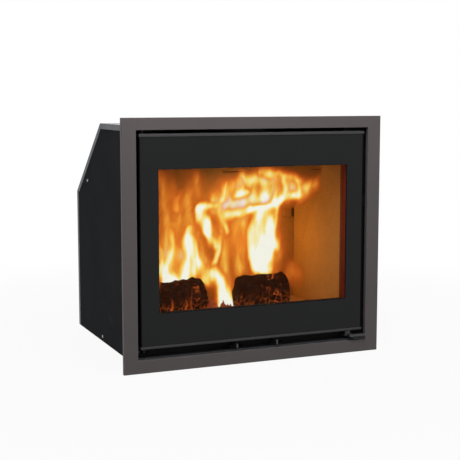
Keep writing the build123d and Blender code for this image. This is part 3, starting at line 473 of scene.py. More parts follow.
@dataclass(frozen=True)
class DarkCoat(Finish):
    """Near-black powder coat on sheet steel, with rub marks and worn folds."""

    rough: float = 0.52
    gloss: float = 0.01
    grain_size: float = 0.9 * MM
    grain_depth: float = 0.03 * MM

    def make(self, graph: Graph) -> Material:
        """Lays the finish out in an empty graph.

        Args:
            graph: the empty graph.

        Returns:
            The finish's material.
        """
        cloud = graph.noise(0.22, 4.0, 0.55)
        rub = graph.noise(60 * MM, 6.0, 0.65, (1.0, 0.25, 1.0), 0.4).step(0.6, 0.8)
        body = self.tones(graph, cloud, 0.75, 1.3)
        worn = graph.edge(0.7 * MM) * graph.noise(7 * MM, 3.0).step(0.45, 0.7)
        paint = graph.blend(worn * 0.5, body, shade(self.colour, 7.0))
        paint = self.with_painted_firelight(graph, graph.blend(rub * 0.2, paint, shade(self.colour, 2.6)))
        rough = self.rough + rub * 0.12 + (cloud - 0.5) * 0.12
        grain = graph.bump(graph.noise(self.grain_size, 2.0), self.grain_depth)
        return graph.surface(paint, rough, normal=grain, specular_ior_level=self.gloss)

    def with_painted_firelight(self, graph: Graph, paint: Socket) -> Socket:
        """The paint as it is, without painted firelight."""
        return paint


@dataclass(frozen=True)
class DoorCoat(DarkCoat):
    """Black coat of the door's frame, with painted firelight in oxide red on the window's reveal."""

    firelight_red: Colour = (0.17, 0.016, 0.007)
    reveal_to: float = 2.2 * MM

    def with_painted_firelight(self, graph: Graph, paint: Socket) -> Socket:
        """The paint, reddened by painted firelight just past the window's sides, where only the reveal lies.

        Args:
            graph: the finish's graph.
            paint: the coat's colour.

        Returns:
            The reddened colour.
        """
        side, outside = past_window(graph)
        near = outside.step(self.reveal_to, self.reveal_to - 0.4 * MM) * side.step(0.3 * MM, 0.8 * MM)
        patchy = graph.noise(25 * MM, 4.0, 0.6).step(0.2, 0.6)
        # The reveal's red is painted firelight, made patchy by noise.
        return graph.blend(near * (0.6 + patchy * 0.4), paint, self.firelight_red)


@dataclass(frozen=True)
class Galvanised(Finish):
    """Hot-dipped zinc: crystals with their own brightness, pale bloom and fine rolling lines."""

    spangle: float = 11 * MM
    metal: float = 0.85

    def make(self, graph: Graph) -> Material:
        """Lays the finish out in an empty graph.

        Args:
            graph: the empty graph.

        Returns:
            The finish's material.
        """
        crystal = graph.cells(self.spangle)
        fine = graph.cells(self.spangle * 0.42)
        bloom = graph.noise(0.09, 5.0, 0.6).step(0.42, 0.72)
        tone = crystal * 0.55 + fine * 0.25 + bloom * 0.2
        paint = self.tones(graph, tone, 0.72, 1.25)
        rolling = graph.noise(0.8 * MM, 2.0, 0.5, (1.0, 0.02, 1.0))
        rough = 0.46 + crystal * 0.14 + bloom * 0.14
        metal = self.metal - bloom * 0.3
        relief = graph.bump(crystal * 0.6 + rolling * 0.4, 0.03 * MM)
        return graph.surface(paint, rough, metallic=metal, normal=relief)


@dataclass(frozen=True)
class StovePaint(Finish):
    """Matt heat-proof black, browned by heat, with the mill scale's waviness under it. Given red colours, as
    on the air risers, it paints firelight.
    """

    heat_tint_and_firelight: Colour = (0.030, 0.018, 0.012)
    rough: float = 0.66
    gloss: float = 0.12

    def make(self, graph: Graph) -> Material:
        """Lays the finish out in an empty graph.

        Args:
            graph: the empty graph.

        Returns:
            The finish's material.
        """
        heat = graph.noise(0.13, 5.0, 0.6, warp=0.6).step(0.45, 0.75)
        mottle = graph.noise(14 * MM, 4.0, 0.6)
        body = self.tones(graph, mottle, 0.7, 1.35)
        # Second colour: real heat browning on the firebox, painted firelight on the air risers.
        paint = graph.blend(heat * 0.45, body, self.heat_tint_and_firelight)
        bare = graph.edge(0.8 * MM) * graph.noise(5 * MM, 3.0).step(0.5, 0.7)
        paint = graph.blend(bare * 0.5, paint, (0.08, 0.075, 0.07))
        rough = self.rough + (mottle - 0.5) * 0.2 - bare * 0.2
        relief = graph.bump(mottle * 0.5 + graph.noise(1.1 * MM, 2.0) * 0.5, 0.09 * MM)
        return graph.surface(paint, rough, normal=relief, specular_ior_level=self.gloss)


@dataclass(frozen=True)
class Vermiculite(Finish):
    """Pressed vermiculite board: ochre flakes, pits, pressed skin and soot that thickens upwards."""

    soot: Colour = (0.10, 0.045, 0.014)
    flake: float = 2.6 * MM
    soot_from: float = 0.40
    soot_to: float = 0.60

    def make(self, graph: Graph) -> Material:
        """Lays the finish out in an empty graph.

        Args:
            graph: the empty graph.

        Returns:
            The finish's material.
        """
        flakes = graph.cells(self.flake)
        gold = graph.cells(self.flake * 0.5).step(0.86, 0.93)
        pits = graph.noise(1.8 * MM, 3.0, 0.65).step(0.63, 0.72)
        cloud = graph.noise(0.12, 5.0, 0.6)
        board = self.tones(graph, flakes * 0.4 + cloud * 0.6, 0.72, 1.22)
        board = graph.blend(gold * 0.3, board, (0.80, 0.50, 0.17))
        height = graph.axes()[2]
        smoke = height.step(self.soot_from, self.soot_to) * 0.5 + (cloud - 0.5) * 0.6
        licks = graph.noise(50 * MM, 5.0, 0.62, (1.0, 1.0, 0.28), 0.8).step(0.52, 0.75)
        cover = (smoke + licks * 0.22).clamped() * 0.7
        chipped = graph.edge(1.6 * MM) * graph.noise(6 * MM, 4.0, 0.7).step(0.5, 0.62)
        paint = graph.blend(cover, board, self.soot)
        paint = graph.blend(pits * 0.45, paint, (0.07, 0.030, 0.008))
        paint = graph.blend(chipped * 0.5, paint, (0.60, 0.36, 0.13))
        coarse = graph.bump(graph.noise(22 * MM, 3.0), 0.3 * MM)
        relief = graph.bump(flakes * 0.5 - pits * 0.5 + 0.5, 0.35 * MM, coarse)
        rough = 0.86 - gold * 0.3
        return graph.surface(paint, rough, normal=relief, specular_ior_level=0.2)


@dataclass(frozen=True)
class CastIron(Finish):
    """Sand-cast iron, dull black with a pebbled skin and pale ash lying on its upper faces."""

    ash_cover: float = 0.7
    ash: Colour = (0.34, 0.32, 0.30)

    def make(self, graph: Graph) -> Material:
        """Lays the finish out in an empty graph.

        Args:
            graph: the empty graph.

        Returns:
            The finish's material.
        """
        sand = graph.noise(1.4 * MM, 3.0, 0.6)
        patch = graph.noise(40 * MM, 5.0, 0.65)
        body = self.tones(graph, sand, 0.6, 1.5)
        rust = graph.noise(18 * MM, 5.0, 0.7).step(0.6, 0.75)
        paint = graph.blend(rust * 0.35, body, (0.11, 0.045, 0.02))
        dusted = graph.facing_up() * patch.step(0.42, 0.68) * (0.5 + sand * 0.5)
        paint = graph.blend(dusted * self.ash_cover, paint, self.ash)
        bare = graph.edge(1.2 * MM) * sand.step(0.4, 0.6)
        paint = graph.blend(bare * 0.5, paint, (0.10, 0.10, 0.105))
        rough = 0.6 + dusted * 0.3
        relief = graph.bump(sand, 0.3 * MM)
        return graph.surface(paint, rough, normal=relief, specular_ior_level=0.25)


@dataclass(frozen=True)
class CeramicGlass(Finish):
    """Glass-ceramic pane: clear window inside a printed black border with a darker rim line."""

    rim: float = 1.7 * MM
    soft: float = 0.35 * MM
    clear_alpha: float = 0.06
    gloss: float = 0.15
    smoke: Colour = (0.075, 0.034, 0.012)

    def make(self, graph: Graph) -> Material:
        """Lays the finish out in an empty graph.

        Args:
            graph: the empty graph.

        Returns:
            The finish's material.
        """
        outside = past_window(graph)[1]
        printed = outside.step(-self.soft, self.soft)
        rim = outside.step(self.rim + self.soft, self.rim)
        haze = graph.noise(0.15, 4.0)
        smear = graph.noise(45 * MM, 5.0, 0.6, (0.4, 1.0, 1.0), 0.5).step(0.5, 0.78)
        body = self.tones(graph, haze, 0.88, 1.14)
        border = graph.blend(rim, body, (0.002, 0.003, 0.006))
        paint = graph.blend(printed, self.smoke, border)
        soot = outside.step(-0.030, 0.0) * graph.noise(25 * MM, 4.0).step(0.35, 0.7)
        clear = self.clear_alpha + soot * 0.05 + smear * 0.02
        alpha = printed + (1.0 - printed) * clear
        rough = 0.16 + smear * 0.05 + haze * 0.05
        return graph.surface(paint, rough, alpha=alpha, specular_ior_level=self.gloss)


@dataclass(frozen=True)
class RopeSeal(Finish):
    """Glass-fibre rope, graphite grey, fuzzy between its yarns."""

    def make(self, graph: Graph) -> Material:
        """Lays the finish out in an empty graph.

        Args:
            graph: the empty graph.

        Returns:
            The finish's material.
        """
        yarn = graph.noise(0.9 * MM, 3.0, 0.6)
        patch = graph.noise(30 * MM, 3.0)
        mix = yarn * 0.7 + patch * 0.3
        paint = self.tones(graph, mix, 0.5, 1.6)
        relief = graph.bump(yarn, 0.25 * MM)
        return graph.surface(paint, 0.92, normal=relief, specular_ior_level=0.1)


@dataclass(frozen=True)
class BrightMetal(Finish):
    """Plated or plain metal on small turned pieces, with tarnish and fine turning marks."""

    rough: float = 0.3
    tarnish: Colour = (0.20, 0.19, 0.17)
    metal: float = 0.95

    def make(self, graph: Graph) -> Material:
        """Lays the finish out in an empty graph.

        Args:
            graph: the empty graph.

        Returns:
            The finish's material.
        """
        spots = graph.noise(5 * MM, 5.0, 0.65).step(0.48, 0.74)
        turning = graph.noise(0.3 * MM, 2.0)
        body = self.tones(graph, turning, 0.88, 1.08)
        paint = graph.blend(spots * 0.45, body, self.tarnish)
        rough = self.rough + spots * 0.25 + (turning - 0.5) * 0.1
        metal = self.metal - spots * 0.3
        relief = graph.bump(turning, 0.01 * MM)
        return graph.surface(paint, rough, metallic=metal, normal=relief)


class Finishes(Enum):
    """The finishes of this insert, with the record's slots."""

    TRIM = SatinEnamel("taupe_enamel", "trim_enamel", (0.101, 0.088, 0.088))
    RAIL = SatinEnamel("rail_enamel", "trim_enamel", (0.058, 0.056, 0.057))
    PANEL = DarkCoat("panel_coat", "casing_dark", (0.049, 0.050, 0.054), 0.6, 0.0)
    SHEET = Galvanised("zinc_spangle", "galvanised_sheet", (0.112, 0.118, 0.126))
    FIREBOX = StovePaint("stove_black", "firebox_steel", (0.0075, 0.0075, 0.0075))
    # The risers' red is painted firelight: these black ducts are coloured as the fire lights them.
    DUCT_FIRELIGHT = StovePaint("duct_painted_firelight", "firebox_steel", (0.120, 0.020, 0.008), (0.16, 0.030, 0.010))
    DOOR = DoorCoat("door_black", "door_steel", (0.0060, 0.0060, 0.0062))
    BOARD = Vermiculite("ochre_board", "vermiculite", (0.46, 0.205, 0.045))
    CAST = CastIron("ashy_casting", "cast_iron_black", (0.020, 0.020, 0.021))
    COLLAR = CastIron("clean_casting", "cast_iron_black", (0.030, 0.030, 0.032), 0.0)
    GLASS = CeramicGlass("printed_pane", "ceramic_glass", (0.0090, 0.0094, 0.0100))
    ROPE = RopeSeal("graphite_rope", "rope_seal", (0.050, 0.049, 0.047))
    ZINC = BrightMetal("zinc_plating", "zinc_steel", (0.26, 0.26, 0.255))
    CONTROL = BrightMetal(
        "dark_steel", "control_steel", (0.055, 0.055, 0.057), 0.45, (0.025, 0.025, 0.025), 0.7
    )
    BRASS = BrightMetal("bush_bronze", "bush_brass", (0.14, 0.09, 0.04), 0.45, (0.07, 0.045, 0.02))


Coats = tuple[tuple[Finishes | str, ...], ...]


# --- Objects and meshes --------------------------------------------------------------------
def placed(name: str, data: bpy.types.ID) -> Piece:
    """New object on the given data, put into the scene.

    Args:
        name: the object's name.
        data: its mesh, lamp or camera.

    Returns:
        The new object.
    """
    made = bpy.data.objects.new(name, data)
    bpy.context.scene.collection.objects.link(made)
    return made


def new_lamp(name: str, kind: str, place: Place, watts: float) -> Piece:
    """New lamp of a kind, place and power.

    Args:
        name: the lamp's name.
        kind: POINT or AREA.
        place: where it stands.
        watts: its power.

    Returns:
        The lamp.
    """
    light = bpy.data.lights.new(name, kind)
    light.energy = watts
    lamp = placed(name, light)
    lamp.location = place
    return lamp


def merged(mesh: bpy.types.Mesh) -> bmesh.types.BMesh:
    """Working copy of a mesh, in which points at one place are made one.

    Args:
        mesh: the mesh, which stays as it is.

    Returns:
        The copy, which the caller frees.
    """
    shell = bmesh.new()
    shell.from_mesh(mesh)
    bmesh.ops.remove_doubles(shell, verts=shell.verts, dist=WELD)
    return shell


def new_piece(
    name: str, points: np.ndarray, material: Material, wraps: tuple[bool, bool] = (False, False)
) -> Piece:
    """Makes a surface of a grid of points, closes its seams and turns its faces outwards.

    A quad joins each point to its neighbours in the next row and column. Where the grid wraps,
    the last row or column is followed by the first.

    Args:
        name: the piece's name.
        points: its points, (rows, columns, 3), in metres, where they lie on the insert.
        material: what it is made of.
        wraps: whether it wraps over its rows, and over its columns.

    Returns:
        The new object, at the origin.
    """
    rows, columns, _ = points.shape
    row = np.arange(rows if wraps[0] else rows - 1)[:, None]
    column = np.arange(columns if wraps[1] else columns - 1)
    below, beside = (row + 1) % rows * columns, (column + 1) % columns
    corners = [row * columns + column, row * columns + beside, below + beside, below + column]
    faces = np.stack(corners, axis=-1).reshape(-1, 4)
    mesh = bpy.data.meshes.new(name)
    mesh.from_pydata(points.reshape(-1, 3).tolist(), [], faces.tolist())
    shell = merged(mesh)
    bmesh.ops.recalc_face_normals(shell, faces=shell.faces)
    shell.to_mesh(mesh)
    shell.free()
    mesh.materials.append(material)
    mesh.shade_smooth()
    return placed(name, mesh)


def run_along(line: np.ndarray, shares: np.ndarray) -> tuple[np.ndarray, float]:
    """Points of a broken line in a plane at the given shares of its length, and that length.

    Args:
        line: the line's corners, (n, 2).
        shares: places along it, from 0 to 1.

    Returns:
        The points, (shares, 2), and the length.
    """
    length = np.concatenate([[0.0], np.cumsum(np.linalg.norm(np.diff(line, axis=0), axis=1))])
    places = [np.interp(shares * length[-1], length, line[:, axis]) for axis in (0, 1)]
    return np.stack(places, axis=-1), length[-1]


def plane_grid(first: Span, second: Span, counts: Counts) -> list[np.ndarray]:
    """The two coordinates of evenly spaced points, (rows, columns), over two spans."""
    return np.meshgrid(np.linspace(*first, counts[0]), np.linspace(*second, counts[1]), indexing="ij")


def ripple(points: np.ndarray, size: float, seed: int, layers: int = 4) -> np.ndarray:
    """Wavy noise: a sum of plane waves, each layer half as long and half as strong as the last.

    A layer is the mean of six waves sin(k . p + phase), whose directions and phases are random.

    Args:
        points: places, (..., n), in metres.
        size: length of the longest waves, in metres.
        seed: start of the random numbers.
        layers: how many layers are added.

    Returns:
        The noise at each place, mostly between -1 and 1.
    """
    rng = np.random.default_rng(seed)
    layer = np.repeat(np.arange(layers), 6)
    ways = rng.normal(size=(layer.size, points.shape[-1]))
    ways /= np.linalg.norm(ways, axis=1, keepdims=True)
    phases = rng.uniform(0.0, 2.0 * pi, layer.size)
    waves = np.sin(points @ ways.T * (2.0 * pi / size) * 2.0 ** layer + phases)
    return (waves * 0.5 ** layer).sum(axis=-1) / 2.4


def blurred(values: np.ndarray, spread: int) -> np.ndarray:
    """A grid of values, smoothed along both axes by the weights exp(-n^2 / (2 spread^2)).

    Args:
        values: the grid.
        spread: how far a value spreads, in steps of the grid.

    Returns:
        The smoothed grid.
    """
    steps = np.arange(-3 * spread, 3 * spread + 1)
    weights = np.exp(-steps ** 2 / (2.0 * spread ** 2))
    for axis in (0, 1):
        values = np.apply_along_axis(np.convolve, axis, values, weights / weights.sum(), "same")
    return values


def eased(node: str, finish: Finishes, width: float, body: str) -> Piece:
    """Copy of a CAD node with its edges rounded, which stands for that node.

    Args:
        node: the CAD node's name.
        finish: what it is made of.
        width: how far the rounding reaches from each edge, in metres.
        body: the body that it rides on.

    Returns:
        The new object.
    """
    shell = merged(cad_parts[node].data)
    bmesh.ops.dissolve_limit(shell, angle_limit=FLAT, verts=shell.verts, edges=shell.edges)
    mesh = bpy.data.meshes.new(f"{node}_eased")
    shell.to_mesh(mesh)
    shell.free()
    mesh.materials.append(finish.value.material())
    piece = placed(f"{node}_eased", mesh)
    bevel = piece.modifiers.new("eased_edges", "BEVEL")
    bevel.width = width
    bevel.segments = 2
    bevel.limit_method = "ANGLE"
    bevel.angle_limit = SHARP
    bevel.harden_normals = True
    return stand_for(piece, finish, body, node)


def stand_for(piece: Piece, finish: Finishes, body: str, *nodes: str) -> Piece:
    """Puts a piece on its body, in place of the CAD nodes.

    Args:
        piece: the new piece.
        finish: not used.
        body: the body that it rides on.
        *nodes: the CAD nodes that it replaces.

    Returns:
        The piece.
    """
    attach(piece, body)
    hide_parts(*nodes)
    return piece


def dress(finish: Finishes, *nodes: str) -> list[str]:
    """Gives CAD nodes a finish.

    Args:
        finish: the finish.
        *nodes: the nodes' names.

    Returns:
        The same names.
    """
    for node in nodes:
        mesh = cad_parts[node].data
        if not mesh.materials:
            mesh.materials.append(None)
        for index in range(len(mesh.materials)):
            mesh.materials[index] = finish.value.material()
    return list(nodes)


# --- Sub-assemblies ------------------------------------------------------------------------
@dataclass
class SubAssembly:
    """Pieces that belong together and ride on one body.

    A row of plain or rounded is a finish and the CAD nodes that get it. The rounded nodes are
    made anew, with their edges eased over the edge width.
    """

    body: str = "casing"
    edge: float = 0.35 * MM
    plain: Coats = ()
    rounded: Coats = ()

    def build(self) -> list[str]:
        """Makes and dresses the pieces.

        Returns:
            The names of the pieces.
        """
        pieces = []
        for finish, *nodes in self.plain:
            pieces += dress(finish, *nodes)
        for finish, *nodes in self.rounded:
            pieces += [eased(node, finish, self.edge, self.body).name for node in nodes]
        return pieces


@dataclass
class TrimFrame(SubAssembly):
    """Flat trim frame and the brackets behind it."""

    plain: Coats = ((Finishes.TRIM, "trim_frame"), (Finishes.SHEET, "trim_brackets"))


@dataclass
class Casing(SubAssembly):
    """Sheet casing: dark sides and base, spacers, and galvanised covers with eased folds."""

    plain: Coats = (
        (Finishes.PANEL, "side_panel_left", "side_panel_right", "base_plate"),
        (Finishes.SHEET, "spacer_brackets"),
    )
    rounded: Coats = ((Finishes.SHEET, "top_cover", "slope_cover", "rear_cover"),)


@dataclass
class Firebox(SubAssembly):
    """Welded steel box, its ducts and its lining boards, whose edges are pressed round."""

    edge: float = 1.4 * MM
    plain: Coats = (
        (
            Finishes.FIREBOX, "firebox_floor", "firebox_side_left", "firebox_side_right", "firebox_back",
            "firebox_top", "firebox_front", "air_wash_manifold", "smoke_deflector", "deflector_rests",
        ),
        (Finishes.DUCT_FIRELIGHT, "air_riser_left", "air_riser_right"),
    )
    rounded: Coats = (
        (
            Finishes.BOARD, "rear_lining", "side_lining_left", "side_lining_right", "baffle",
            "floor_lining_left", "floor_lining_right", "floor_lining_front", "floor_lining_rear",
        ),
    )


@dataclass
class Hearth(SubAssembly):
    """Ash pan and its well, and the castings: grate and log guard."""

    edge: float = 1.2 * MM
    plain: Coats = ((Finishes.FIREBOX, "ash_well"), (Finishes.ZINC, "ash_pan"))
    rounded: Coats = ((Finishes.CAST, "grate", "log_guard"),)


@dataclass
class FlueAndAir(SubAssembly):
    """Flue collar, the valve under the floor, air inlet and plenum."""

    plain: Coats = (
        (Finishes.COLLAR, "flue_collar"), (Finishes.FIREBOX, "air_box", "valve_plate", "slide_guides"),
        (Finishes.SHEET, "air_inlet_collar", "air_plenum"),
    )


@dataclass
class Door(SubAssembly):
    """Glazed door: pane with its printed border, rails, frame, seals and hinge pins."""

    body: str = "door"
    plain: Coats = (
        (Finishes.GLASS, "door_glass"), (Finishes.RAIL, "door_top_rail", "door_bottom_rail"),
        (Finishes.DOOR, "door_frame"), (Finishes.ROPE, "glass_gasket"),
        (Finishes.CONTROL, "hinge_pins"), (Finishes.BRASS, "lever_bush"),
    )
    rope_width: float = 10 * MM
    rope_bend: float = 18 * MM
    bend_points: int = 13
    boxiness: float = 0.4
    yarn_pitch: float = 7.5 * MM
    yarn_depth: float = 0.16
    around: int = 20
    along: int = 1500

    def build(self) -> list[str]:
        """Dresses the pane, rails and frame, and braids the rope seal."""
        return [*super().build(), self.rope_seal().name]

    def rope_seal(self) -> Piece:
        """Flattened braided rope in a ring with rounded corners.

        The ring's middle line is a rounded rectangle: a quarter circle at each corner, then the
        straight run to the next, put at equal steps by interpolation over its length s. The
        section at angle t is (w c |c|^-b, d sn |sn|^-b) with c = cos t, sn = sin t, half width w,
        half depth d and boxiness b, which is a rounded box. It is cut back by the braid,
        1 - |cos(pi s/p + 2t)| or 1 - |cos(pi s/p - 2t)| at pitch p, whichever yarn lies on top.

        Returns:
            The rope, which replaces the plain ring.
        """
        low, high = (np.array(corner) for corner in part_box("door_gasket"))
        half_depth, half_width = (high[1] - low[1]) / 2, self.rope_width / 2
        middle = (low + high) / 2
        reach = (high - low)[[0, 2]] / 2 - half_width - self.rope_bend
        turns = np.linspace(0.0, pi / 2, self.bend_points) + np.arange(4)[:, None] * pi / 2
        signs = np.array([[1, 1], [-1, 1], [-1, -1], [1, -1]])
        bends = self.rope_bend * np.stack([np.cos(turns), np.sin(turns)], axis=-1)
        ring = ((signs * reach)[:, None, :] + bends).reshape(-1, 2)
        shares = np.arange(self.along) / self.along
        line, length = run_along(np.vstack([ring, ring[:1]]), shares)
        way = np.roll(line, -1, axis=0) - np.roll(line, 1, axis=0)
        way /= np.linalg.norm(way, axis=1, keepdims=True)
        side = np.stack([way[:, 1], -way[:, 0]], axis=-1)[:, None, :]
        t = np.arange(self.around) / self.around * 2.0 * pi
        half_turn = pi * round(length / self.yarn_pitch) * shares[:, None]
        yarns = np.maximum(np.abs(np.cos(half_turn + 2 * t)), np.abs(np.cos(half_turn - 2 * t)))
        size = 1.0 - self.yarn_depth * (1.0 - yarns)
        c, sn = np.cos(t), np.sin(t)
        across = half_width * size * np.sign(c) * np.abs(c) ** (1.0 - self.boxiness)
        deep = half_depth * size * np.sign(sn) * np.abs(sn) ** (1.0 - self.boxiness)
        flat = line[:, None, :] + side * across[..., None]
        points = np.stack([flat[..., 0] + middle[0], deep + middle[1], flat[..., 1] + middle[2]], axis=-1)
        rope = new_piece("rope_seal", points, Finishes.ROPE.value.material(), (True, True))
        return stand_for(rope, Finishes.ROPE, self.body, "door_gasket")


@dataclass
class HingesAndCatch(SubAssembly):
    """What the door hangs on and what holds it shut."""

    plain: Coats = ((Finishes.DOOR, "hinge_brackets", "latch_catch"),)


@dataclass
class Latch(SubAssembly):
    """Door lever with its shaft and tongue."""

    body: str = "lever"
    edge: float = 0.8 * MM
    plain: Coats = ((Finishes.CONTROL, "lever_shaft", "latch_tongue"),)
    rounded: Coats = ((Finishes.CONTROL, "door_lever"),)


@dataclass
class AirSlide(SubAssembly):
    """One air slide, whose tab stands under the door."""

    edge: float = 0.5 * MM


@dataclass
class Fasteners(SubAssembly):
    """Screws, bolts, nuts and washers of one body."""

    plain: Coats = (
        (Finishes.ZINC, "casing_screws", "levelling_screws", "levelling_nuts", "flue_bolts"),
        (Finishes.CONTROL, "front_screws", "hinge_washers"),
    )


# --- Fire behind the pane ------------------------------------------------------------------
@dataclass(frozen=True)
class Tongue:
    """One flame: its heat, its half widths at foot and tip, and the (x, z) line it follows."""

    heat: float
    foot: float
    tip: float
    line: np.ndarray

    @classmethod
    def from_row(cls, heat: float, *sizes: float) -> "Tongue":
        """Flame of a heat and, in mm, its foot, its tip, and x and z of each point of its line."""
        foot, tip, *line = np.array(sizes) / 1000
        return cls(heat, foot, tip, np.reshape(line, (-1, 2)))

    def reach(self, places: np.ndarray) -> np.ndarray:
        """Heat of the flame at each place.

        The line is cut into 48 equal steps at u from 0 to 1. Their half width goes from foot to tip
        with (1 - u)^0.7, and their heat falls by the share 0.30 u^2. Around a step the heat goes as
        0.8 exp(-d^2) + 0.2 exp(-0.25 d^2), a core in a halo, where d is the distance over the half
        width. The hottest step counts.

        Args:
            places: (n, 2) places in the flame's plane.

        Returns:
            Heat at each place, at most the flame's own.
        """
        u = np.linspace(0.0, 1.0, 48)
        half = self.tip + (self.foot - self.tip) * (1.0 - u) ** 0.7
        gaps = (np.linalg.norm(places[:, None, :] - run_along(self.line, u)[0], axis=-1) / half) ** 2
        glow = (0.8 * np.exp(-gaps) + 0.2 * np.exp(-0.25 * gaps)) * (1.0 - 0.30 * u ** 2)
        return self.heat * glow.max(axis=1)


@dataclass
class Fire:
    """Logs, embers, flames and their light, as a backdrop in the firebox.

    A coarse or fine pair is a ripple's size and strength. A sheet has its name, the y of its foot
    and the start of its random numbers, and a row of front, haze or licks is one flame on the
    sheets, in their order, as Tongue.from_row reads it.
    """

    log_radius: float = 52 * MM
    log_oval: float = 0.07
    log_coarse: Span = (0.09, 0.11)
    log_fine: Span = (0.02, 0.05)
    log_grid: Counts = (110, 96)
    logs: tuple[tuple[Place, Place, float, int], ...] = (
        ((-0.242, -0.085, 0.108), (-0.066, -0.055, 0.106), 0.90, 3),
        ((0.014, -0.070, 0.106), (0.180, -0.030, 0.104), 0.88, 8),
    )
    ember_x: Span = (-0.235, 0.150)
    ember_y: Span = (-0.120, 0.040)
    ember_z: float = 65.5 * MM
    ember_least: float = 0.002
    ember_coarse: Span = (0.030, 0.010)
    ember_fine: Span = (0.008, 0.003)
    ember_grid: Counts = (90, 180)
    sheets: tuple[tuple[str, float, int], ...] = (
        ("flames_front", -0.030, 11), ("flames_haze", 0.010, 29), ("flames_low", -0.140, 43),
    )
    front: tuple[Row, ...] = (
        (1.12, 15, 8, -161, 149, -153, 196, -144, 243, -144, 287),
        (1.02, 13, 7, -190, 167, -178, 198, -182, 234),
        (0.94, 10, 6, -144, 153, -167, 179, -178, 208),
        (1.23, 21, 9, -122, 157, -112, 204, -103, 251, -92, 293),
        (0.96, 14, 9, -92, 171, -91, 219, -97, 261),
        (1.06, 15, 7, -55, 147, -65, 191, -80, 234, -86, 261),
        (1.30, 31, 9, 5, 49, 0, 95, -4, 133, -15, 157, -36, 175),
        (0.83, 19, 12, 29, 55, 16, 110, 1, 149),
        (1.14, 11, 8, -74, 346, -49, 342, -21, 351),
        (1.19, 15, 11, -45, 268, -51, 299, -60, 324, -69, 345),
        (0.89, 9, 8, -36, 237, -46, 271),
        (1.02, 12, 8, 5, 277, -5, 304, -13, 329, -7, 358),
        (1.00, 9, 7, -36, 197, -25, 228, -16, 260),
        (1.16, 17, 14, 117, 162, 96, 181, 86, 214, 89, 252, 101, 289, 116, 316),
        (1.27, 24, 16, 107, 188, 119, 223, 124, 261, 127, 301),
        (1.16, 12, 8, 110, 191, 137, 222, 148, 239),
        (1.06, 12, 9, 143, 227, 147, 273, 153, 318, 149, 352),
        (0.83, 10, 9, 87, 168, 69, 210, 73, 258, 92, 306),
        (0.98, 17, 16, 11, 324, 47, 317, 82, 324, 115, 334, 149, 346, 185, 353, 224, 363),
        (1.14, 10, 8, 75, 321, 112, 337, 135, 344),
        (1.09, 9, 6, 1, 362, -2, 384, 4, 406),
        (1.12, 11, 6, 39, 369, 45, 392, 37, 415),
        (1.06, 10, 8, 52, 373, 70, 380),
        (1.14, 11, 7, 139, 354, 144, 383, 141, 411),
        (1.21, 13, 8, 174, 357, 178, 387, 171, 413),
        (1.06, 10, 6, 209, 363, 215, 384, 203, 407),
        (0.81, 12, 10, 116, 425, 170, 420, 221, 408),
        (0.64, 10, 7, -134, 336, -136, 364, -123, 393),
        (0.69, 9, 7, 25, 404, 17, 383, 14, 357),
    )
    haze: tuple[Row, ...] = (
        (0.62, 38, 33, -184, 177, -161, 259, -160, 363, -171, 425),
        (0.66, 38, 33, -90, 171, -95, 256, -100, 340, -83, 413),
        (0.64, 30, 27, -10, 166, -4, 241, -4, 326, -10, 405),
        (0.62, 27, 24, 48, 162, 47, 238, 47, 324, 47, 414),
        (0.73, 33, 27, 124, 168, 124, 245, 123, 326, 123, 412),
        (0.86, 33, 30, -10, 336, 76, 344, 159, 362, 231, 376),
        (0.81, 26, 24, 30, 393, 123, 417, 206, 398),
        (0.55, 24, 20, 206, 377, 261, 386, 285, 401),
        (0.48, 28, 26, 196, 153, 215, 129),
        (0.46, 27, 27, 147, 298, 160, 199),
        (0.79, 26, 22, -161, 218, -106, 220, -61, 190),
        (0.68, 20, 15, -5, 90, 13, 143),
        (0.86, 24, 22, 124, 201, 130, 271),
    )
    licks: tuple[Row, ...] = (
        (0.85, 4, 2, -157, 62, -147, 77, -149, 101),
        (0.80, 4, 2, -128, 57, -113, 74, -118, 92),
        (0.62, 4, 3, -91, 59, -100, 97, -97, 134),
        (0.50, 4, 2, -67, 57, -72, 84),
        (0.70, 7, 4, -186, 135, -173, 161),
    )
    sheet_x: Span = (-0.250, 0.285)
    sheet_z: Span = (0.055, 0.452)
    sheet_grid: Counts = (220, 270)
    sway: Span = (0.007, 0.006)
    sway_size: float = 0.085
    streak: float = 0.13
    streak_size: float = 0.030
    hottest: float = 1.3
    softness: int = 4
    soft_share: float = 0.65
    drawn_y: float = -30 * MM
    bulge: float = 20 * MM
    lean_from: float = 0.27
    lean: float = 0.80
    glow_colour: Colour = (1.0, 0.64, 0.20)
    glow_size: float = 50 * MM
    lamps: tuple[tuple[Place, float], ...] = (
        ((-0.10, -0.01, 0.230), 0.52), ((0.12, 0.01, 0.240), 0.58), ((0.03, -0.02, 0.330), 0.28),
    )

    def build(self) -> list[str]:
        """Makes the backdrop's pieces and lamps.

        Returns:
            The names of the pieces.
        """
        pieces = [self.make_log(f"log_{number}", *sizes) for number, sizes in enumerate(self.logs)]
        pieces.append(self.make_embers())
        for (name, depth, seed), flames in zip(self.sheets, (self.front, self.haze, self.licks)):
            pieces.append(self.make_sheet(name, flames, depth, seed))
        for number, (place, watts) in enumerate(self.lamps):
            light = new_lamp(f"fire_light_{number}", "POINT", place, watts).data
            light.color = self.glow_colour
            light.shadow_soft_size = self.glow_size
        return [piece.name for piece in pieces]

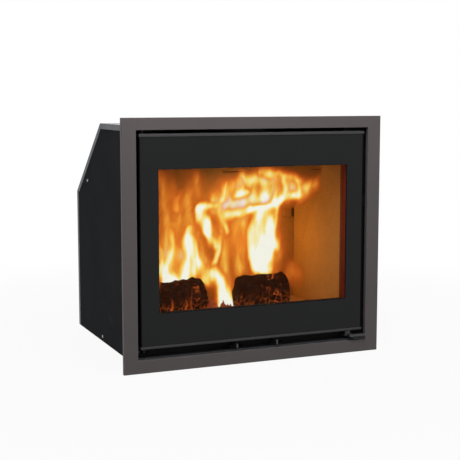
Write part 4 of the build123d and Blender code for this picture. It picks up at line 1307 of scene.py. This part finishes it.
    def make_log(self, name: str, start: Place, end: Place, size: float, seed: int) -> Piece:
        """Charred log, a tube of angle t along an axis u from start to end.

        Its radius is r (1 + oval cos(3t + seed) + coarse ripple + fine ripple), drawn in to
        nothing over the first and last twentieth by (1 - (2u - 1)^20)^0.5, so both ends close.

        Args:
            name: its name.
            start: middle of one end.
            end: middle of the other.
            size: factor on the common radius.
            seed: start of its random numbers.

        Returns:
            The log.
        """
        rows, columns = self.log_grid
        u = np.linspace(0.0, 1.0, rows)[:, None]
        t = (np.arange(columns) / columns * 2.0 * pi)[None, :]
        axis = np.array(end) - np.array(start)
        out = np.array([0.0, 1.0, 0.0])
        up = np.cross(axis / np.linalg.norm(axis), out)
        middle = np.array(start) + u[..., None] * axis
        round_way = np.cos(t)[..., None] * out + np.sin(t)[..., None] * up
        plain = middle + round_way * self.log_radius
        (wide, high), (narrow, low) = self.log_coarse, self.log_fine
        lumps = self.log_oval * np.cos(3.0 * t + seed) + ripple(plain, wide, seed, 3) * high
        lumps += ripple(plain * (0.35, 1.0, 1.0), narrow, seed + 1, 3) * low
        closing = np.sqrt(np.clip(1.0 - np.abs(2.0 * u - 1.0) ** 20, 0.0, 1.0))
        radius = size * self.log_radius * (1.0 + lumps) * closing
        points = middle + round_way * radius[..., None]
        return new_piece(name, points, once("charcoal", self.lay_charcoal), (False, True))

    def lay_charcoal(self, graph: Graph) -> Material:
        """Charcoal: crazed black bark with glowing joints between some of its scales.

        Args:
            graph: the empty graph.

        Returns:
            The charcoal's material.
        """
        wave = graph.noise(12 * MM, 4.0, 0.65)
        joint = graph.cracks(17 * MM, wave * 0.030)
        fine = graph.noise(2.2 * MM, 4.0, 0.7)
        hot = graph.noise(40 * MM, 4.0, 0.6).step(0.56, 0.70)
        low = graph.axes()[2].step(0.125, 0.070)
        split = joint.step(0.09, 0.01)
        glow = split * (hot * 0.8 + low * 0.5).clamped() + fine.step(0.68, 0.80) * low * 0.5
        paint = graph.blend(fine.step(0.45, 0.80), (0.001, 0.0005, 0.0004), (0.150, 0.034, 0.012))
        light = graph.blend(glow.clamped(), (0.006, 0.0012, 0.0004), (0.75, 0.13, 0.02))
        relief = graph.bump(joint.step(0.0, 0.25) * 0.6 + fine * 0.4, 5.0 * MM)
        return graph.surface(
            paint, 0.85, normal=relief, emission_color=light, emission_strength=1.0,
            specular_ior_level=0.05,
        )

    def make_embers(self) -> Piece:
        """Bed of embers, a height over x and y.

        It is (least + lumps) ((1 - u^6) (1 - v^6))^0.5 over the hearth, where u and v go from -1 to
        1 across the bed, so it falls to the hearth at its rim. The lumps are the sizes, without
        their signs, of a coarse and a fine ripple.

        Returns:
            The bed.
        """
        y, x = plane_grid(self.ember_y, self.ember_x, self.ember_grid)
        (left, right), (near, far) = self.ember_x, self.ember_y
        edge_x = 1.0 - (2.0 * (x - left) / (right - left) - 1.0) ** 6
        edge_y = 1.0 - (2.0 * (y - near) / (far - near) - 1.0) ** 6
        flat = np.stack([x, y], axis=-1)
        (wide, high), (narrow, low) = self.ember_coarse, self.ember_fine
        lumps = np.abs(ripple(flat, wide, 5, 4)) * high + np.abs(ripple(flat, narrow, 6, 2)) * low
        z = self.ember_z + np.clip(edge_x * edge_y, 0.0, 1.0) ** 0.5 * (self.ember_least + lumps)
        return new_piece("embers", np.stack([x, y, z], axis=-1), once("embers", self.lay_embers))

    def lay_embers(self, graph: Graph) -> Material:
        """Ash-grey crumbs that glow where they are hot.

        Args:
            graph: the empty graph.

        Returns:
            The embers' material.
        """
        heat = graph.noise(16 * MM, 5.0, 0.68)
        paint = graph.blend(heat, (0.03, 0.018, 0.012), (0.10, 0.06, 0.04))
        glow = self.heat_colour(graph, heat.step(0.46, 0.80) * 0.5)
        return graph.surface(
            paint, 0.95, emission_color=glow, emission_strength=0.5,
            normal=graph.bump(heat, 4 * MM), specular_ior_level=0.1,
        )

    def heat_colour(self, graph: Graph, heat: Value) -> Socket:
        """Colour of a flame from its heat: deep red, orange, yellow, near white.

        Args:
            graph: the material's graph.
            heat: the heat, from 0 to 1.

        Returns:
            The colour.
        """
        stops = [
            (0.0, (0.35, 0.040, 0.004)), (0.26, (0.72, 0.095, 0.010)), (0.46, (0.88, 0.20, 0.020)),
            (0.62, (1.0, 0.42, 0.045)), (0.76, (1.0, 0.70, 0.13)), (0.89, (1.0, 0.90, 0.45)),
            (1.0, (1.0, 1.0, 0.88)),
        ]
        return graph.node("ShaderNodeValToRGB", {"stops": stops}, {0: heat}).outputs[0]

    def make_sheet(self, name: str, flames: tuple[Row, ...], depth: float, seed: int) -> Piece:
        """Curved sheet of flames, whose heat is kept at its points.

        The places, in the plane y = drawn_y, are first pulled about by a ripple drawn out upwards,
        so that the outlines flicker. The heat is the root of the sum of the tongues' squares,
        streaked by another ripple, with soft_share of it blurred. The sheet bulges towards the room
        where it is hottest, and above lean_from it leans forwards under the baffle. Each point then
        slides along its line of sight from the eye to the sheet's depth, so the flames keep their
        place in the picture.

        Args:
            name: the sheet's name.
            flames: its flames, a row each.
            depth: y of its foot.
            seed: start of its random numbers.

        Returns:
            The sheet.
        """
        z, x = plane_grid(self.sheet_z, self.sheet_x, self.sheet_grid)
        places = np.stack([x, z], axis=-1).reshape(-1, 2)
        drawn = places * (1.0, 0.45)
        pull = np.stack([ripple(drawn, self.sway_size, start, 3) for start in (seed, seed + 1)], axis=-1)
        moved = places + pull * self.sway
        total = np.sqrt(sum(Tongue.from_row(*row).reach(moved) ** 2 for row in flames))
        streaks = 1.0 + self.streak * ripple(places * (1.0, 0.25), self.streak_size, seed + 2, 3)
        sharp = np.clip(total * streaks, 0.0, self.hottest).reshape(x.shape)
        heat = (1.0 - self.soft_share) * sharp + self.soft_share * blurred(sharp, self.softness)
        y = depth - self.bulge * np.clip(heat, 0.0, 1.0) - self.lean * np.clip(z - self.lean_from, 0.0, None)
        eye = np.array(EYE)
        plane = np.stack([x, np.full_like(x, self.drawn_y), z], axis=-1)
        points = eye + (plane - eye) * ((y - eye[1]) / (self.drawn_y - eye[1]))[..., None]
        sheet = new_piece(name, points, once("flames", self.lay_flames))
        kept = sheet.data.attributes.new("warmth", "FLOAT", "POINT")
        kept.data.foreach_set("value", heat.reshape(-1).astype(np.float32))
        return sheet

    def lay_flames(self, graph: Graph) -> Material:
        """Glow that thins out where it is cool, seen by the eye and in glass but lighting nothing.

        Args:
            graph: the empty graph.

        Returns:
            The flames' material.
        """
        heat = Value(graph, graph.node("ShaderNodeAttribute", {"attribute_name": "warmth"}).outputs["Fac"])
        wisps = (graph.noise(20 * MM, 3.0, 0.55, (1.0, 0.3, 0.3), 0.5) - 0.5) * 0.34
        warm = heat + wisps * heat.step(0.05, 0.5)
        return graph.surface(
            BLACK, 1.0, specular_ior_level=0.0, emission_strength=1.0,
            emission_color=self.heat_colour(graph, warm), alpha=warm.step(0.06, 0.80) * graph.seen(),
        )


# --- Studio --------------------------------------------------------------------------------
@dataclass
class Studio:
    """Pale floor, plain soft light and the camera at the photograph's angle.

    The floor's painted shade, where a share of the lit grey card shows, is full at the first of
    shade_ends and gone at the second, both squares of the distance from the insert's middle.
    """

    azimuth: float = -22.841
    elevation: float = 7.085
    lens: float = 84.17
    sensor: float = 36.0
    world_light: float = 0.34
    floor_gap: float = 0.4 * MM
    floor_reach: float = 30.0
    floor_grey: Colour = (0.40, 0.40, 0.40)
    floor_shade: float = 0.06
    shade_ends: Span = (0.3, 1.7 ** 2)
    lamps: tuple[tuple[str, Place, Place, float, float], ...] = (
        ("key", (-0.2, -0.95, 1.60), (0.0, -0.24, 0.50), 0.8, 22.0),
        ("fill", (2.2, -1.8, 1.2), (0.0, 0.0, 0.25), 1.6, 8.0),
        ("rear", (0.6, 2.2, 1.9), (0.0, 0.1, 0.3), 1.6, 22.0),
    )

    def build(self) -> None:
        """Makes world, floor, lamps and camera."""
        self.make_world()
        self.make_floor()
        for name, place, target, size, watts in self.lamps:
            lamp = new_lamp(name, "AREA", place, watts)
            lamp.data.size = size
            lamp.rotation_euler = (Vector(target) - Vector(place)).to_track_quat("-Z", "Y").to_euler()
        self.make_camera()
        bpy.context.scene.view_settings.view_transform = "Standard"

    def make_world(self) -> None:
        """Soft grey light, and white for what the eye, metal and glass see."""
        graph = Graph(bpy.data.worlds.new("studio"))
        light = graph.node("ShaderNodeBackground", {}, {"Color": WHITE, "Strength": self.world_light})
        plain = graph.node("ShaderNodeBackground", {}, {"Color": WHITE, "Strength": 1.0})
        bpy.context.scene.world = graph.mixed(graph.seen(), light, plain)

    def make_floor(self) -> None:
        """White floor just under the trim, darkened near the insert by painted shade that holds its real
        shadow.
        """
        far, low = self.floor_reach, cad_box[0].z - self.floor_gap
        corners = [[-far, -far, low], [far, -far, low], [far, far, low], [-far, far, low]]
        mesh = bpy.data.meshes.new("floor")
        mesh.from_pydata(corners, [], [[0, 1, 2, 3]])
        graph = Graph(bpy.data.materials.new("floor_white"))
        card = graph.node("ShaderNodeBsdfDiffuse", {}, {"Color": self.floor_grey})
        glow = graph.node("ShaderNodeEmission", {}, {"Color": WHITE, "Strength": 1.0})
        x, y, _ = graph.axes()
        # Painted shade: near the insert a share of the lit grey card shows, darker than the white glow, with
        # the insert's real shadow in it.
        near = (x * x + y * y).step(self.shade_ends[1], self.shade_ends[0])
        mesh.materials.append(graph.mixed(graph.seen() * (1.0 - near * self.floor_shade), card, glow))
        floor = placed("floor", mesh)

    def make_camera(self) -> None:
        """Camera at the photograph's place, angle and field of view."""
        data = bpy.data.cameras.new("photo_view")
        data.lens = self.lens
        data.sensor_width = self.sensor
        data.clip_start = 50 * MM
        camera = placed("photo_view", data)
        camera.location = EYE
        camera.rotation_euler = (radians(90.0 - self.elevation), 0.0, radians(self.azimuth))
        bpy.context.scene.camera = camera


def main() -> None:
    """Builds the sub-assemblies in order, then fire and studio."""
    logging.basicConfig(level=logging.INFO, format="%(name)s: %(message)s")
    parts = [
        TrimFrame(), Casing(), Firebox(), Hearth(), FlueAndAir(), Door(), HingesAndCatch(), Latch(),
        AirSlide("primary_slide", rounded=((Finishes.CONTROL, "primary_air_slide"),)),
        AirSlide("secondary_slide", rounded=((Finishes.CONTROL, "secondary_air_slide"),)),
        Fasteners(), Fasteners("door", plain=((Finishes.CONTROL, "door_rail_screws"),)),
    ]
    for part in parts:
        for name in part.build():
            log.info("%s: %s on %s", type(part).__name__, name, part.body)
    for name in Fire().build():
        log.info("Fire: %s behind the pane", name)
    Studio().build()
    bpy.context.view_layer.update()


if __name__ == "__main__":
    main()
